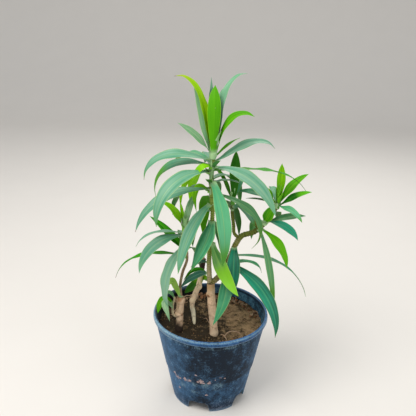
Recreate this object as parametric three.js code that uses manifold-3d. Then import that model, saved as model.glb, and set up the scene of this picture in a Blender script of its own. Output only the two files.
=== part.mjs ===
// A song of india in a round plastic nursery pot: three canes cut back hard, which shot again,
// with strap leaves along the shoots and a heart of young leaves at each tip.
// Millimetres, +Z up. Lengths, heights and places are measured from the pot's axis at the ground,
// and the whole group is moved at the end so that its origin is under the middle of its outline.
import * as THREE from "three";
import { mergeVertices } from "three/addons/utils/BufferGeometryUtils.js";
import Module from "manifold-3d";

const wasm = await Module();
wasm.setup();

// Space left between two pieces that touch
const GAP = 0.3;

// Pot
const POT_HEIGHT = 205;
const RIM_RADIUS = 125;
const FOOT_RADIUS = 82;
const NECK_RADIUS = 120.5;
const NECK_HEIGHT = 192;
const WALL = 2.6;
const RIM_DEPTH = 12;
const LEDGE_HEIGHT = 85;
const LEDGE_STEP = 1.4;
const FLOOR_HEIGHT = 28;
const FLOOR_THICKNESS = 3;
const POT_SIDES = 60;
const NOTCHES = 5;
const NOTCH_AZIMUTH = 255.5;
const NOTCH_WIDTH = 50;
const NOTCH_TOP_WIDTH = 40;
const NOTCH_HEIGHT = 25;
const NOTCH_CORNER = 6;
const NOTCH_LEAN = 1;
const DRAIN_RADIUS = 7;
const DRAIN_PLACE = 62;
const DRAIN_SIDES = 12;

// Soil
const SOIL_LEVEL = 174;
const SOIL_BACK_LEVEL = 184;
const SOIL_SLOPE_START = 30;
const SOIL_WALL_GAP = GAP + 0.4;

// Limbs
const LIMB_SIDES = 10;
const LIMB_STEP = 14;
const FLARE = 0.12;
const FLARE_HEIGHT = 7;
const HEART_FURROW = 0.05;
const FURROWS = 3;
const FURROW_TURN = 2;
const HALVINGS = 24;

// Leaves
const LEAF_STATIONS = 9;
const LEAF_SUBSTEPS = 6;
const LEAF_THICKNESS = 1.5;
const LEAF_EDGE = 0.7;
const LEAF_NECK = 0.24;
const LEAF_WIDEST = 0.42;
const LEAF_FOLD = 0.16;
const LEAF_FOLD_AT_NECK = 0.3;
const LEAF_FOLD_GROWTH = 4;
const LEAF_NECK_RISE = 1.3;
const LEAF_POINT_FALL = 2.1;
const LEAF_BEND = 1.5;
const LEAF_ROLLED_BY = 0.4;

// Colours
const POT_BLUE = "#35587f";
const SOIL_BROWN = "#5f4a36";
const CANE_TAN = "#a98a63";
const STEM_OLIVE = "#8c8552";
const TEAL_GREEN = "#4fa283";
const YOUNG_GREEN = "#6fae1d";
const HEART_GREEN = "#a9c86a";

const container = new THREE.Group();
const limbs = new THREE.Group();
const leaves = new THREE.Group();
const plant = new THREE.Group().add(container, limbs, leaves);

function material(color, roughness) {
  return new THREE.MeshStandardMaterial({ color, roughness, metalness: 0 });
}

function place(group, name, geometry, finish) {
  const mesh = new THREE.Mesh(geometry, finish);
  mesh.name = name;
  group.add(mesh);
}

// Booleans on closed meshes
function solidOf(geometry) {
  const bare = new THREE.BufferGeometry();
  bare.setAttribute("position", geometry.getAttribute("position"));
  if (geometry.index) bare.setIndex(geometry.index);
  const merged = mergeVertices(bare, 1e-3);
  return new wasm.Manifold(
    new wasm.Mesh({
      numProp: 3,
      vertProperties: merged.getAttribute("position").array,
      triVerts: new Uint32Array(merged.index.array),
    }),
  );
}

function geometryOf(solid) {
  const mesh = solid.getMesh();
  const geometry = new THREE.BufferGeometry();
  geometry.setAttribute("position", new THREE.BufferAttribute(mesh.vertProperties, 3));
  geometry.setIndex(new THREE.BufferAttribute(mesh.triVerts, 1));
  geometry.computeVertexNormals();
  return geometry;
}

// A closed skin over rings of equal count, which ends in a point or in a flat cap at each end.
function skin(rings, tip) {
  const count = rings[0].length;
  const points = rings.flat();
  const index = [];
  for (let r = 0; r + 1 < rings.length; r++) {
    for (let k = 0; k < count; k++) {
      const a = r * count + k;
      const b = r * count + ((k + 1) % count);
      index.push(a, b, b + count, a, b + count, a + count);
    }
  }
  for (let k = 2; k < count; k++) index.push(0, k, k - 1);
  const last = (rings.length - 1) * count;
  if (tip) {
    points.push(tip);
    for (let k = 0; k < count; k++) index.push(last + k, last + ((k + 1) % count), points.length - 1);
  } else {
    for (let k = 2; k < count; k++) index.push(last, last + k - 1, last + k);
  }
  const geometry = new THREE.BufferGeometry().setFromPoints(points);
  geometry.setIndex(index);
  geometry.computeVertexNormals();
  return geometry;
}

// Pot: the outside radius at a height, with the small step of the ledge.
function potRadius(z) {
  const slope = (NECK_RADIUS - FOOT_RADIUS - LEDGE_STEP) / NECK_HEIGHT;
  return FOOT_RADIUS + slope * z + (z > LEDGE_HEIGHT ? LEDGE_STEP : 0);
}

function potGeometry() {
  const top = POT_HEIGHT;
  const bead = RIM_RADIUS - NECK_RADIUS;
  // Out under the floor, down and round the foot, up the outside, over the rim and back down inside
  const profile = [
    [0, FLOOR_HEIGHT],
    [potRadius(FLOOR_HEIGHT) - WALL, FLOOR_HEIGHT],
    [FOOT_RADIUS - WALL, 0],
    [FOOT_RADIUS, 0],
    [potRadius(LEDGE_HEIGHT), LEDGE_HEIGHT],
    [potRadius(LEDGE_HEIGHT + LEDGE_STEP), LEDGE_HEIGHT + LEDGE_STEP],
    [NECK_RADIUS, NECK_HEIGHT],
    [NECK_RADIUS + 0.7 * bead, top - RIM_DEPTH],
    [RIM_RADIUS, top - 0.75 * RIM_DEPTH],
    [RIM_RADIUS, top - 0.3 * RIM_DEPTH],
    [NECK_RADIUS + 0.5 * bead, top - 0.06 * RIM_DEPTH],
    [NECK_RADIUS - 0.1 * bead, top],
    [NECK_RADIUS - WALL, top - 0.25 * RIM_DEPTH],
    [potRadius(NECK_HEIGHT) - WALL, top - RIM_DEPTH],
    [potRadius(FLOOR_HEIGHT + FLOOR_THICKNESS) - WALL, FLOOR_HEIGHT + FLOOR_THICKNESS],
    [0, FLOOR_HEIGHT + FLOOR_THICKNESS],
  ];
  const points = profile.map(([r, z]) => new THREE.Vector2(r, z));
  const shell = new THREE.LatheGeometry(points, POT_SIDES);
  shell.rotateX(Math.PI / 2);
  let solid = solidOf(shell);
  for (let k = 0; k < NOTCHES; k++) {
    const turn = THREE.MathUtils.degToRad(NOTCH_AZIMUTH + (360 / NOTCHES) * k);
    solid = solid.subtract(solidOf(notchCutter(turn)));
    solid = solid.subtract(solidOf(drainCutter(turn)));
  }
  return geometryOf(solid);
}

// The space between two feet: slanted sides and rounded upper corners, cut through the skirt.
function notchCutter(turn) {
  const foot = NOTCH_WIDTH / 2;
  const head = NOTCH_TOP_WIDTH / 2;
  const outline = new THREE.Shape();
  outline.moveTo(-foot, -GAP);
  outline.lineTo(foot, -GAP);
  outline.lineTo(head + NOTCH_LEAN, NOTCH_HEIGHT - NOTCH_CORNER);
  outline.quadraticCurveTo(head, NOTCH_HEIGHT, head - NOTCH_CORNER, NOTCH_HEIGHT);
  outline.lineTo(NOTCH_CORNER - head, NOTCH_HEIGHT);
  outline.quadraticCurveTo(-head, NOTCH_HEIGHT, -head - NOTCH_LEAN, NOTCH_HEIGHT - NOTCH_CORNER);
  outline.closePath();
  const reach = FOOT_RADIUS;
  const cutter = new THREE.ExtrudeGeometry(outline, { depth: reach, curveSegments: 3, bevelEnabled: false });
  cutter.rotateX(Math.PI / 2);
  cutter.translate(0, -reach / 2, 0);
  cutter.rotateZ(turn + Math.PI / 2);
  return cutter;
}

function drainCutter(turn) {
  const depth = 3 * FLOOR_THICKNESS;
  const cutter = new THREE.CylinderGeometry(DRAIN_RADIUS, DRAIN_RADIUS, depth, DRAIN_SIDES);
  cutter.rotateX(Math.PI / 2);
  cutter.translate(DRAIN_PLACE * Math.cos(turn), DRAIN_PLACE * Math.sin(turn), FLOOR_HEIGHT);
  return cutter;
}

// Space over the soil, which is level at the front and rises towards the back wall
function overSoil() {
  const reach = RIM_RADIUS;
  const outline = new THREE.Shape();
  outline.moveTo(-reach, SOIL_LEVEL);
  outline.lineTo(SOIL_SLOPE_START, SOIL_LEVEL);
  outline.lineTo(reach, SOIL_BACK_LEVEL);
  outline.lineTo(reach, POT_HEIGHT);
  outline.lineTo(-reach, POT_HEIGHT);
  outline.closePath();
  const space = new THREE.ExtrudeGeometry(outline, { depth: 2 * reach, bevelEnabled: false });
  space.rotateX(Math.PI / 2);
  space.rotateZ(Math.PI / 2);
  space.translate(-reach, 0, 0);
  return space;
}

// Soil: fills the pot from its floor up to the space over it.
function soilGeometry() {
  const bottom = FLOOR_HEIGHT + FLOOR_THICKNESS + GAP;
  const top = SOIL_BACK_LEVEL + GAP;
  const clear = WALL + SOIL_WALL_GAP;
  const profile = [
    [0, bottom],
    [potRadius(bottom) - clear, bottom],
    [potRadius(LEDGE_HEIGHT) - clear, LEDGE_HEIGHT],
    [potRadius(top) - clear, top],
    [0, top],
  ];
  const points = profile.map(([r, z]) => new THREE.Vector2(r, z));
  const soil = new THREE.LatheGeometry(points, POT_SIDES / 2);
  soil.rotateX(Math.PI / 2);
  return geometryOf(solidOf(soil).subtract(solidOf(overSoil())));
}

// A limb follows a smooth curve, and its radius runs evenly from one of its places to the next.
class Limb {
  constructor(curve, radii) {
    this.curve = curve;
    this.radii = radii;
  }

  static through(places) {
    const points = places.map(([x, y, z]) => new THREE.Vector3(x, y, z));
    return new Limb(new THREE.CatmullRomCurve3(points), places.map((place) => place[3]));
  }

  fatter(extra) {
    return new Limb(this.curve, this.radii.map((radius) => radius + extra));
  }

  at(u) {
    const run = u * (this.radii.length - 1);
    const k = Math.min(Math.floor(run), this.radii.length - 2);
    return {
      point: this.curve.getPoint(u),
      along: this.curve.getTangent(u),
      radius: THREE.MathUtils.lerp(this.radii[k], this.radii[k + 1], run - k),
    };
  }

  atHeight(z) {
    let low = 0;
    let high = 1;
    for (let k = 0; k < HALVINGS; k++) {
      const middle = (low + high) / 2;
      if (this.curve.getPoint(middle).z < z) low = middle;
      else high = middle;
    }
    return this.at((low + high) / 2);
  }
}

// Rings across a limb. The first one is level, for a flat cut, and it flares where it meets soil.
function limbGeometry(limb, { flare = 0, pointed = false, uneven = 0 } = {}) {
  const steps = Math.max(3, Math.ceil(limb.curve.getLength() / LIMB_STEP));
  const rings = [];
  for (let s = 0; s <= steps; s++) {
    const here = limb.at(s / steps);
    const rise = here.point.z - limb.curve.getPoint(0).z;
    const axis = s === 0 && flare ? new THREE.Vector3(0, 0, 1) : here.along;
    const side = new THREE.Vector3(1, 0, 0).projectOnPlane(axis).normalize();
    const other = new THREE.Vector3().crossVectors(axis, side);
    const grown = here.radius * (1 + flare * Math.exp(-rise / FLARE_HEIGHT));
    const ring = [];
    for (let k = 0; k < LIMB_SIDES; k++) {
      const angle = (2 * Math.PI * k) / LIMB_SIDES;
      const radius = grown * (1 + uneven * Math.sin(FURROWS * angle + FURROW_TURN * s));
      const spoke = side.clone().multiplyScalar(radius * Math.cos(angle));
      spoke.addScaledVector(other, radius * Math.sin(angle));
      ring.push(here.point.clone().add(spoke));
    }
    rings.push(ring);
  }
  const tip = pointed ? rings.pop().reduce((a, b) => a.add(b)).divideScalar(LIMB_SIDES) : null;
  return skin(rings, tip);
}

// The part of a limb that is left where it grows out of another: the parent, grown by the gap, is cut away.
function grownFrom(geometry, parentGeometry) {
  return geometryOf(solidOf(geometry).subtract(solidOf(parentGeometry)));
}

// Canes and shoots: places along each as x, y, height and radius
const BASE = SOIL_LEVEL + GAP;
const mainCane = Limb.through([
  [9, -42, BASE, 8.6],
  [7, -39, 195, 8.2],
  [2, -35, 245, 8.6],
  [-1, -31, 287, 8],
]);
const mainStem = Limb.through([
  [-3, -30, 287 + GAP, 5.2],
  [-5.5, -30, 335, 4.6],
  [-3.5, -29, 385, 4.3],
  [-1, -28, 440, 4],
  [-5, -28, 495, 3.8],
  [-3, -27, 556, 3.6],
]);
const mainHeart = Limb.through([
  [-3, -27, 556 + GAP, 5.4],
  [-2, -27, 572, 6.4],
  [-1, -26, 595, 4.6],
  [0, -25, 650, 0.6],
]);
const rightBough = Limb.through([
  [2, -31, 268, 6],
  [18, -24, 306, 5.8],
  [37, -15, 339, 5.6],
  [47, -11, 366, 5.4],
  [60, -7, 386, 5.4],
  [86, -2, 394, 5.2],
  [109, 4, 415, 5],
  [128, 8, 444, 4.6],
]);
const rightHeart = Limb.through([
  [128.3, 8.2, 444 + 2 * GAP, 5],
  [131, 9, 456, 5.6],
  [135, 10, 474, 3.6],
  [139, 11, 496, 0.5],
]);
const backShoot = Limb.through([
  [46, -10, 374, 3.4],
  [43, 4, 405, 3.4],
  [39, 8, 430, 3.2],
  [39, 9, 452, 3],
]);
const backHeart = Limb.through([
  [39, 9, 452 + GAP, 4],
  [39, 9, 464, 4.8],
  [38, 9, 480, 3],
  [38, 10, 500, 0.5],
]);
const secondShoot = Limb.through([
  [84, -2, 393, 3],
  [86, -1, 404, 3.4],
  [87, 0, 418, 3],
  [88, 1, 436, 0.5],
]);
const leftStub = Limb.through([
  [-67, -33, BASE, 8.2],
  [-66, -30, 190, 7.6],
  [-65, -26, 220, 7.8],
  [-64, -22, 248, 8],
]);
const leftShoot = Limb.through([
  [-62, -22, 240, 3.2],
  [-66, -12, 266, 3],
  [-61, -10, 300, 2.9],
  [-52, -10, 330, 2.8],
  [-54, -10, 362, 2.7],
  [-57, -10, 392, 2.6],
]);
const leftHeart = Limb.through([
  [-57, -10, 392 + GAP, 3.6],
  [-57, -10, 402, 4.6],
  [-57, -9, 418, 3],
  [-56, -8, 440, 0.5],
]);
const backLeftCane = Limb.through([
  [-35, -7, BASE, 6.4],
  [-38, 2, 197, 5.6],
  [-41, 3, 211, 5.8],
  [-36, 5, 235, 6],
  [-26, 7, 266, 5.8],
  [-18, 10, 323, 5.4],
]);

// The outline of a leaf: its width at a share of its length, from the neck to the point
function leafShare(s, widest) {
  if (s < widest) {
    const swell = Math.sin((Math.PI / 2) * (s / widest));
    return LEAF_NECK + (1 - LEAF_NECK) * Math.pow(swell, LEAF_NECK_RISE);
  }
  return 1 - Math.pow((s - widest) / (1 - widest), LEAF_POINT_FALL);
}

// A leaf leaves its limb at a height and an azimuth, anticlockwise from +X seen from above.
// Its slope runs from rise to fall along its length, later in the leaf the larger bend is.
// sweep turns its heading and roll tips its face over that length, all in degrees.
// widest is the share of its length at which it is widest.
function leafGeometry(limb, height, shape) {
  const { azimuth, rise, fall, length, width } = shape;
  const { bend = LEAF_BEND, sweep = 0, roll = 0, widest = LEAF_WIDEST } = shape;
  const rad = THREE.MathUtils.degToRad;
  const heading = (s) => rad(azimuth + sweep * s);
  const slope = (s) => rad(rise + (fall - rise) * Math.pow(s, bend));
  const forward = (s) =>
    new THREE.Vector3(
      Math.cos(slope(s)) * Math.cos(heading(s)),
      Math.cos(slope(s)) * Math.sin(heading(s)),
      Math.sin(slope(s)),
    );
  const seat = limb.atHeight(height);
  const outward = new THREE.Vector3(Math.cos(heading(0)), Math.sin(heading(0)), 0);
  outward.projectOnPlane(seat.along).normalize();
  const across = Math.sqrt(Math.max(0, 1 - forward(0).dot(outward) ** 2));
  const lean = (LEAF_THICKNESS / 2) * across;
  const start = seat.point.clone().addScaledVector(outward, seat.radius + GAP + lean);
  const rings = [];
  const point = start.clone();
  const substep = length / (LEAF_STATIONS * LEAF_SUBSTEPS);
  for (let k = 0; k < LEAF_STATIONS; k++) {
    const s = k / LEAF_STATIONS;
    const along = forward(s);
    const side = new THREE.Vector3(-Math.sin(heading(s)), Math.cos(heading(s)), 0);
    const up = new THREE.Vector3().crossVectors(along, side);
    const tip = rad(roll) * Math.min(1, s / LEAF_ROLLED_BY);
    side.applyAxisAngle(along, tip);
    up.applyAxisAngle(along, tip);
    const half = (width / 2) * leafShare(s, widest);
    const folded = Math.min(1, LEAF_FOLD_AT_NECK + LEAF_FOLD_GROWTH * s);
    const crest = half * LEAF_FOLD * folded;
    const section = [
      [half, crest + LEAF_EDGE / 2],
      [0, LEAF_THICKNESS / 2],
      [-half, crest + LEAF_EDGE / 2],
      [-half, crest - LEAF_EDGE / 2],
      [0, -LEAF_THICKNESS / 2],
      [half, crest - LEAF_EDGE / 2],
    ];
    rings.push(
      section.map(([a, b]) => point.clone().addScaledVector(side, a).addScaledVector(up, b)),
    );
    for (let step = 0; step < LEAF_SUBSTEPS; step++) {
      const middle = (k + (step + 0.5) / LEAF_SUBSTEPS) / LEAF_STATIONS;
      point.addScaledVector(forward(middle), substep);
    }
  }
  return skin(rings, point);
}

const potFinish = material(POT_BLUE, 0.55);
const soilFinish = material(SOIL_BROWN, 0.95);
const caneFinish = material(CANE_TAN, 0.8);
const stemFinish = material(STEM_OLIVE, 0.75);
const heartFinish = material(HEART_GREEN, 0.5);
const tealFinish = material(TEAL_GREEN, 0.45);
const youngFinish = material(YOUNG_GREEN, 0.45);

place(container, "pot", potGeometry(), potFinish);
place(container, "soil", soilGeometry(), soilFinish);

place(limbs, "main_cane", limbGeometry(mainCane, { flare: FLARE }), caneFinish);
place(limbs, "left_stub", limbGeometry(leftStub, { flare: FLARE }), caneFinish);
place(limbs, "back_left_cane", limbGeometry(backLeftCane, { flare: FLARE }), caneFinish);
place(limbs, "main_stem", limbGeometry(mainStem), stemFinish);

// Space that a limb leaves round another one that grows from it
const caneClear = limbGeometry(mainCane.fatter(GAP), { flare: FLARE });
const stemClear = limbGeometry(mainStem.fatter(GAP));
const stubClear = limbGeometry(leftStub.fatter(GAP), { flare: FLARE });
const boughClear = limbGeometry(rightBough.fatter(GAP));

const boughRough = grownFrom(limbGeometry(rightBough), caneClear);
place(limbs, "right_bough", grownFrom(boughRough, stemClear), stemFinish);
place(limbs, "back_shoot", grownFrom(limbGeometry(backShoot), boughClear), stemFinish);
const pointed = { pointed: true };
place(limbs, "second_shoot", grownFrom(limbGeometry(secondShoot, pointed), boughClear), stemFinish);
place(limbs, "left_shoot", grownFrom(limbGeometry(leftShoot), stubClear), stemFinish);

// Hearts of rolled young leaves
const rolled = { pointed: true, uneven: HEART_FURROW };
place(limbs, "main_heart", limbGeometry(mainHeart, rolled), heartFinish);
place(limbs, "right_heart", grownFrom(limbGeometry(rightHeart, rolled), boughClear), heartFinish);
place(limbs, "back_heart", limbGeometry(backHeart, rolled), heartFinish);
place(limbs, "left_heart", limbGeometry(leftHeart, rolled), heartFinish);

// A leaf by its name, limb, height on it, azimuth, slopes at its two ends, and length and width
function leaf(name, limb, height, azimuth, [rise, fall], [length, width], turns = {}, finish = tealFinish) {
  const shape = { azimuth, rise, fall, length, width, ...turns };
  place(leaves, "leaf_" + name, leafGeometry(limb, height, shape), finish);
}

// Leaves of the main shoot, from its heart down
leaf("top_1", mainHeart, 571, 163, [82, -22], [170, 14], { bend: 3.6, roll: -40 }, youngFinish);
leaf("top_2", mainHeart, 562, 146, [82, 57], [142, 25], { roll: -30 });
leaf("top_3", mainHeart, 563, 268, [86, 150], [134, 25], { bend: 4, widest: 0.62 }, youngFinish);
leaf("top_4", mainHeart, 580, 132, [86, 90], [124, 16]);
leaf("top_5", mainHeart, 566, 66, [80, -60], [142, 17], { bend: 6 });
leaf("top_6", mainHeart, 576, 28, [87, -10], [164, 15], { bend: 3.4, roll: 25 });
leaf("top_7", mainHeart, 567, 343, [78, -35], [119, 23], { bend: 2.4, roll: 35 }, youngFinish);
leaf("top_8", mainHeart, 565, 200, [58, 28], [88, 20], { bend: 1, roll: -45 });
leaf("mid_1", mainStem, 545, 8, [34, -58], [132, 24], { bend: 3.2, roll: 22 });
leaf("mid_2", mainStem, 548, 181, [17, -90], [158, 25], { bend: 2, roll: -30 });
leaf("mid_3", mainStem, 537, 162, [12, -105], [170, 21], { roll: -40 });
leaf("mid_4", mainStem, 529, 158, [6, -95], [118, 22], { bend: 0.7, roll: -30 }, youngFinish);
leaf("mid_5", mainStem, 525, 218, [17, -98], [178, 30], { bend: 1.2, roll: -25 });
leaf("mid_6", mainStem, 491, 195, [8, -76], [182, 25], { bend: 1.3, roll: -30 });
leaf("mid_7", mainStem, 508, 293, [-20, -110], [182, 30], { bend: 0.9 });
leaf("mid_8", mainStem, 534, 332, [16, -68], [165, 31], { bend: 0.9, roll: 25 });
leaf("mid_9", mainStem, 484, 0, [-16, -140], [176, 20], { bend: 2, roll: 35 });
leaf("mid_10", mainStem, 529, 9, [3, -58], [203, 18], { bend: 2.6 });
leaf("low_1", mainStem, 460, 232, [5, -78], [158, 31], { bend: 0.5 });
leaf("low_2", mainStem, 426, 265, [-30, -60], [112, 32], { bend: 0.8, sweep: -58 });
leaf("low_3", mainStem, 378, 312, [-60, -28], [120, 27], { bend: 1.2, roll: 45 });
leaf("back_1", mainStem, 551, 95, [50, -50], [150, 25], { bend: 1.6 });
leaf("back_2", mainStem, 518, 112, [5, -95], [180, 26], { bend: 1.2 });
leaf("back_3", mainStem, 510, 62, [8, -88], [180, 27], { bend: 1.2 });
leaf("back_4", mainStem, 474, 100, [-8, -98], [175, 28], { bend: 1 });

// Leaves of the right bough and of the shoots on it
leaf("right_1", rightBough, 362, 268, [20, -96], [106, 27], { bend: 0.4 });
leaf("right_2", rightBough, 320, 292, [-58, -56], [122, 27], { bend: 1, sweep: -88 });
leaf("right_3", rightBough, 345, 8, [4, -76], [210, 20], { bend: 1.2 });
leaf("right_4", rightBough, 330, 322, [-6, -98], [196, 28], { bend: 1.3, roll: 25 });
leaf("right_5", rightBough, 400, 301, [-45, -80], [168, 14], { bend: 0.6, roll: 30 });
leaf("right_6", rightBough, 402, 340, [-20, -85], [102, 20], { bend: 1, roll: 40 });
leaf("right_7", rightBough, 416, 8, [24, -5], [80, 18], { bend: 1, roll: 30 });
leaf("right_8", rightBough, 418, 335, [5, -62], [74, 19], { bend: 1.3, roll: 35 });
leaf("right_9", rightHeart, 453, 68, [68, 108], [84, 18], { widest: 0.6 }, youngFinish);
leaf("right_10", rightHeart, 457, 22, [60, 15], [84, 19], { roll: 30 });
leaf("right_11", rightHeart, 450, 350, [44, 8], [72, 18], { roll: 30 }, youngFinish);
leaf("right_12", rightHeart, 449, 310, [12, -50], [70, 15], { roll: 25 });
leaf("right_13", rightHeart, 455, 152, [22, -28], [95, 18], { roll: -25 });
leaf("back_shoot_1", backHeart, 458, 290, [86, 92], [106, 23], { widest: 0.58 });

// Leaves of the left shoot
leaf("left_1", leftHeart, 402, 198, [76, 20], [78, 18], { roll: -50 }, youngFinish);
leaf("left_2", leftShoot, 347, 164, [50, 28], [106, 17], { roll: -55 });
leaf("left_3", leftShoot, 389, 192, [15, -66], [110, 14], { bend: 1.8 });
leaf("left_4", leftShoot, 384, 204, [14, -85], [134, 25], { bend: 1, roll: -35 });
leaf("left_5", leftShoot, 360, 226, [-8, -115], [156, 28], { bend: 0.7 });
leaf("left_6", leftShoot, 339, 181, [8, -76], [175, 17], { bend: 1.9 });
leaf("left_7", leftHeart, 400, 72, [74, -15], [92, 15]);

// The origin goes under the middle of the whole outline
const middle = new THREE.Box3().setFromObject(plant).getCenter(new THREE.Vector3());
plant.position.set(-middle.x, -middle.y, 0);

export default plant;
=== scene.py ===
import itertools
import math
import random

import bpy
from mathutils import Matrix, Vector, noise


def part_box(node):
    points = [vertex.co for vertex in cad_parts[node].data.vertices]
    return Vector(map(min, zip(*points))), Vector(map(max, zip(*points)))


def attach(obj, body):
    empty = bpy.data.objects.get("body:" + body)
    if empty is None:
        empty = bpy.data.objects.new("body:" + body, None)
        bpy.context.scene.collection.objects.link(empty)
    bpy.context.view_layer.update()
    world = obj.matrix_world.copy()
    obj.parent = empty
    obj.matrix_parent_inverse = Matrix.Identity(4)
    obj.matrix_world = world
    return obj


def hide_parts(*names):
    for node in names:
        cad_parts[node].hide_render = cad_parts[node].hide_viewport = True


bl_info = {
    "name": "Potted song of india",
    "version": (1, 0, 0),
    "blender": (4, 5, 0),
    "location": "3D View > Sidebar > Potted plant",
    "description": "Makes the pot, soil, canes, shoots and leaves of a potted song of india",
    "category": "Add Mesh",
}

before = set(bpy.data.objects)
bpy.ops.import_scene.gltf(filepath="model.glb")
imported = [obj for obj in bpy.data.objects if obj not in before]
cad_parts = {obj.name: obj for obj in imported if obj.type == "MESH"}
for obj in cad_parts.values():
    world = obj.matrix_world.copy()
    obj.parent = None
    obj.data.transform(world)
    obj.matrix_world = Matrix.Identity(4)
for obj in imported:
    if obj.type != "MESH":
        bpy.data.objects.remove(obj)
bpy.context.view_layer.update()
POT_LOW, POT_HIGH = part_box("pot")
SOIL_LOW, SOIL_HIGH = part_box("soil")
AXIS = Vector(((POT_LOW.x + POT_HIGH.x) / 2, (POT_LOW.y + POT_HIGH.y) / 2, 0))
MM = 0.001

# The photo's camera: its place from the pot's axis, angles in degrees, focal length in the photo's pixels
CAMERA_PLACE = Vector((8.7, -993.6, 806.6)) * MM
CAMERA_PITCH, CAMERA_YAW, CAMERA_ROLL = 20.13, -1.12, 1.3
FOCAL_PIXELS = 520
FRAME_PIXELS = 416
SENSOR_WIDTH = 36

# Pot, beside what its node's box gives
FOOT_RADIUS = 82 * MM
NECK_RADIUS = 120.5 * MM
NECK_HEIGHT = 192 * MM
LEDGE_HEIGHT = 85 * MM
LEDGE_STEP = 1.4 * MM
POT_WALL = 2.5 * MM
RAISED_FLOOR = 28 * MM
FLOOR_THICKNESS = 3 * MM
RIM_HALF_HEIGHT = 6.3 * MM
RIM_HALF_WIDTH = 3.5 * MM
NOTCHES = 5
NOTCH_AZIMUTH = 255.5
NOTCH_FOOT = 25 * MM
NOTCH_HEAD = 21 * MM
NOTCH_FLAT = 14 * MM
NOTCH_SHOULDER = 19 * MM
NOTCH_HEIGHT = 25 * MM
DRAIN_RADIUS = 7 * MM
DRAIN_PLACE = 62 * MM
# Distance between the rows of points up the wall
WALL_STEP = 8 * MM

# Marks of the wall and rim: height, and the distances from it where each fades out and where it is full. The
# rim's pale lines at its crown and lower edge are painted highlights
NECK_SCUFF = (186.5 * MM, 5 * MM, 2 * MM)
# Painted shade: the rim's groove and crease are dark lines
RIM_GROOVE_SHADE = (191.2 * MM, 1.4 * MM, 0.4 * MM)
RIM_CREASE_SHADE = (197.5 * MM, 1.6 * MM, 0.6 * MM)
RIM_LIP_HIGHLIGHT = (193.8 * MM, 1.2 * MM, 0.3 * MM)
RIM_HIGHLIGHT = (202.6 * MM, 2.2 * MM, 0.6 * MM)
RIM_START = 191.5 * MM
LIP_RADIUS = 120.1 * MM
SCUFFED_BAND = (72 * MM, 20 * MM, 6 * MM)
# Painted light across the pot: the middle of its front, kept darker as painted shade, and what lies to its
# sides, paled as a painted reflection
SHADED_MIDDLE = (16 * MM, 90 * MM, 30 * MM)
REFLECTION_SIDES = (20 * MM, 30 * MM, 110 * MM)

# Chips and pale patches of the pot's wall: degrees round from its front, height and size in mm
CHIPS = (
    (-45.3, 91.8, 3.4), (-41.7, 83.4, 6), (-37, 82, 3.4), (-28.9, 87.4, 5), (-25.5, 85, 3),
    (-21.9, 88.3, 4.6), (-13.7, 109, 2.2), (-11.5, 90, 3), (-8.3, 93, 5.2), (-5, 88.5, 2.6), (2, 90, 4.6),
    (-41.9, 50, 3.2), (-0.9, 52, 3), (15, 105, 1.8), (20.2, 100.3, 1.6), (9, 99, 1.5),
)
PALE_PATCHES = ((13, 77, 15), (-3, 82, 11), (-34, 66, 9), (-16, 80, 8), (-19, 58, 7))

SOIL_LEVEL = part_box("main_cane")[0].z - 0.3 * MM
SOIL_SLOPE_START = 30 * MM
SOIL_SLOPE = (SOIL_HIGH.z - SOIL_LEVEL) / (SOIL_HIGH.y - AXIS.y - SOIL_SLOPE_START)
SOIL_LUMP = 26 * MM
# How far the soil sinks along the front wall, how far out that starts, and over what width it comes in
SOIL_DIP = 2.5 * MM
SOIL_DIP_START = 85 * MM
SOIL_DIP_WIDTH = 30 * MM
CANE_BURIED = 8 * MM

# Corners round a ring of a leaf's node and of a limb's node
LEAF_CORNERS = 6
LIMB_CORNERS = 10
# Distance between the rings of a limb here, how far up and down a knot reaches, and corners round a twig
LIMB_STEP = 0.9 * MM
KNOT_REACH = 3.5 * MM
TWIG_SIDES = 12

# Places along a leaf that is grown here, and steps from one to the next
STATIONS = 9
FINE_STEPS = 6
# A blade's width at its foot, as a share of the most: on a leaf that is grown here, and beside a node's own
LEAF_NECK = 0.24
FOOT_WIDENING = 0.36
# The share of a leaf's length where its tip's colour starts, when it has none
NO_TIP = 2.0
# Gap between a leaf's start and its limb, and the least half width of a blade
LEAF_GAP = 0.3 * MM
LEAST_HALF = 0.25 * MM
MATURE_WIDTH = 28 * MM
# Rings of a blade's foot, in mm: below its start where it clasps its limb, inside the limb where it doesn't
SHEATH_RINGS = (11, 8, 5, 2)
BURIED_RINGS = (2.5, 1)
# Hearts: the turn from one rolled leaf to the next, a leaf's rings and fold, its waves beside a plain leaf's
GOLDEN_ANGLE = 137.5
HEART_STEPS = 22
HEART_FOLD = 0.7
HEART_WAVE = 0.3


def tone(red, green, blue):
    """A colour as a screen shows it, 0 to 255, turned into light."""
    return tuple(((c / 255 + 0.055) / 1.055) ** 2.4 for c in (red, green, blue)) + (1.0,)


def length_property(name, description, millimetres):
    return bpy.props.FloatProperty(
        name=name, description=description, default=millimetres * MM, min=0, precision=5,
        subtype="DISTANCE", unit="LENGTH",
    )


def colour_property(name, description, *screen):
    return bpy.props.FloatVectorProperty(
        name=name, description=description, default=tone(*screen), min=0, max=1, size=4, subtype="COLOR",
    )


def count_property(name, description, default, least=0, most=100):
    return bpy.props.IntProperty(name=name, description=description, default=default, min=least, max=most)


def power_property(name, description, default, unit="POWER"):
    return bpy.props.FloatProperty(name=name, description=description, default=default, unit=unit)


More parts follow.
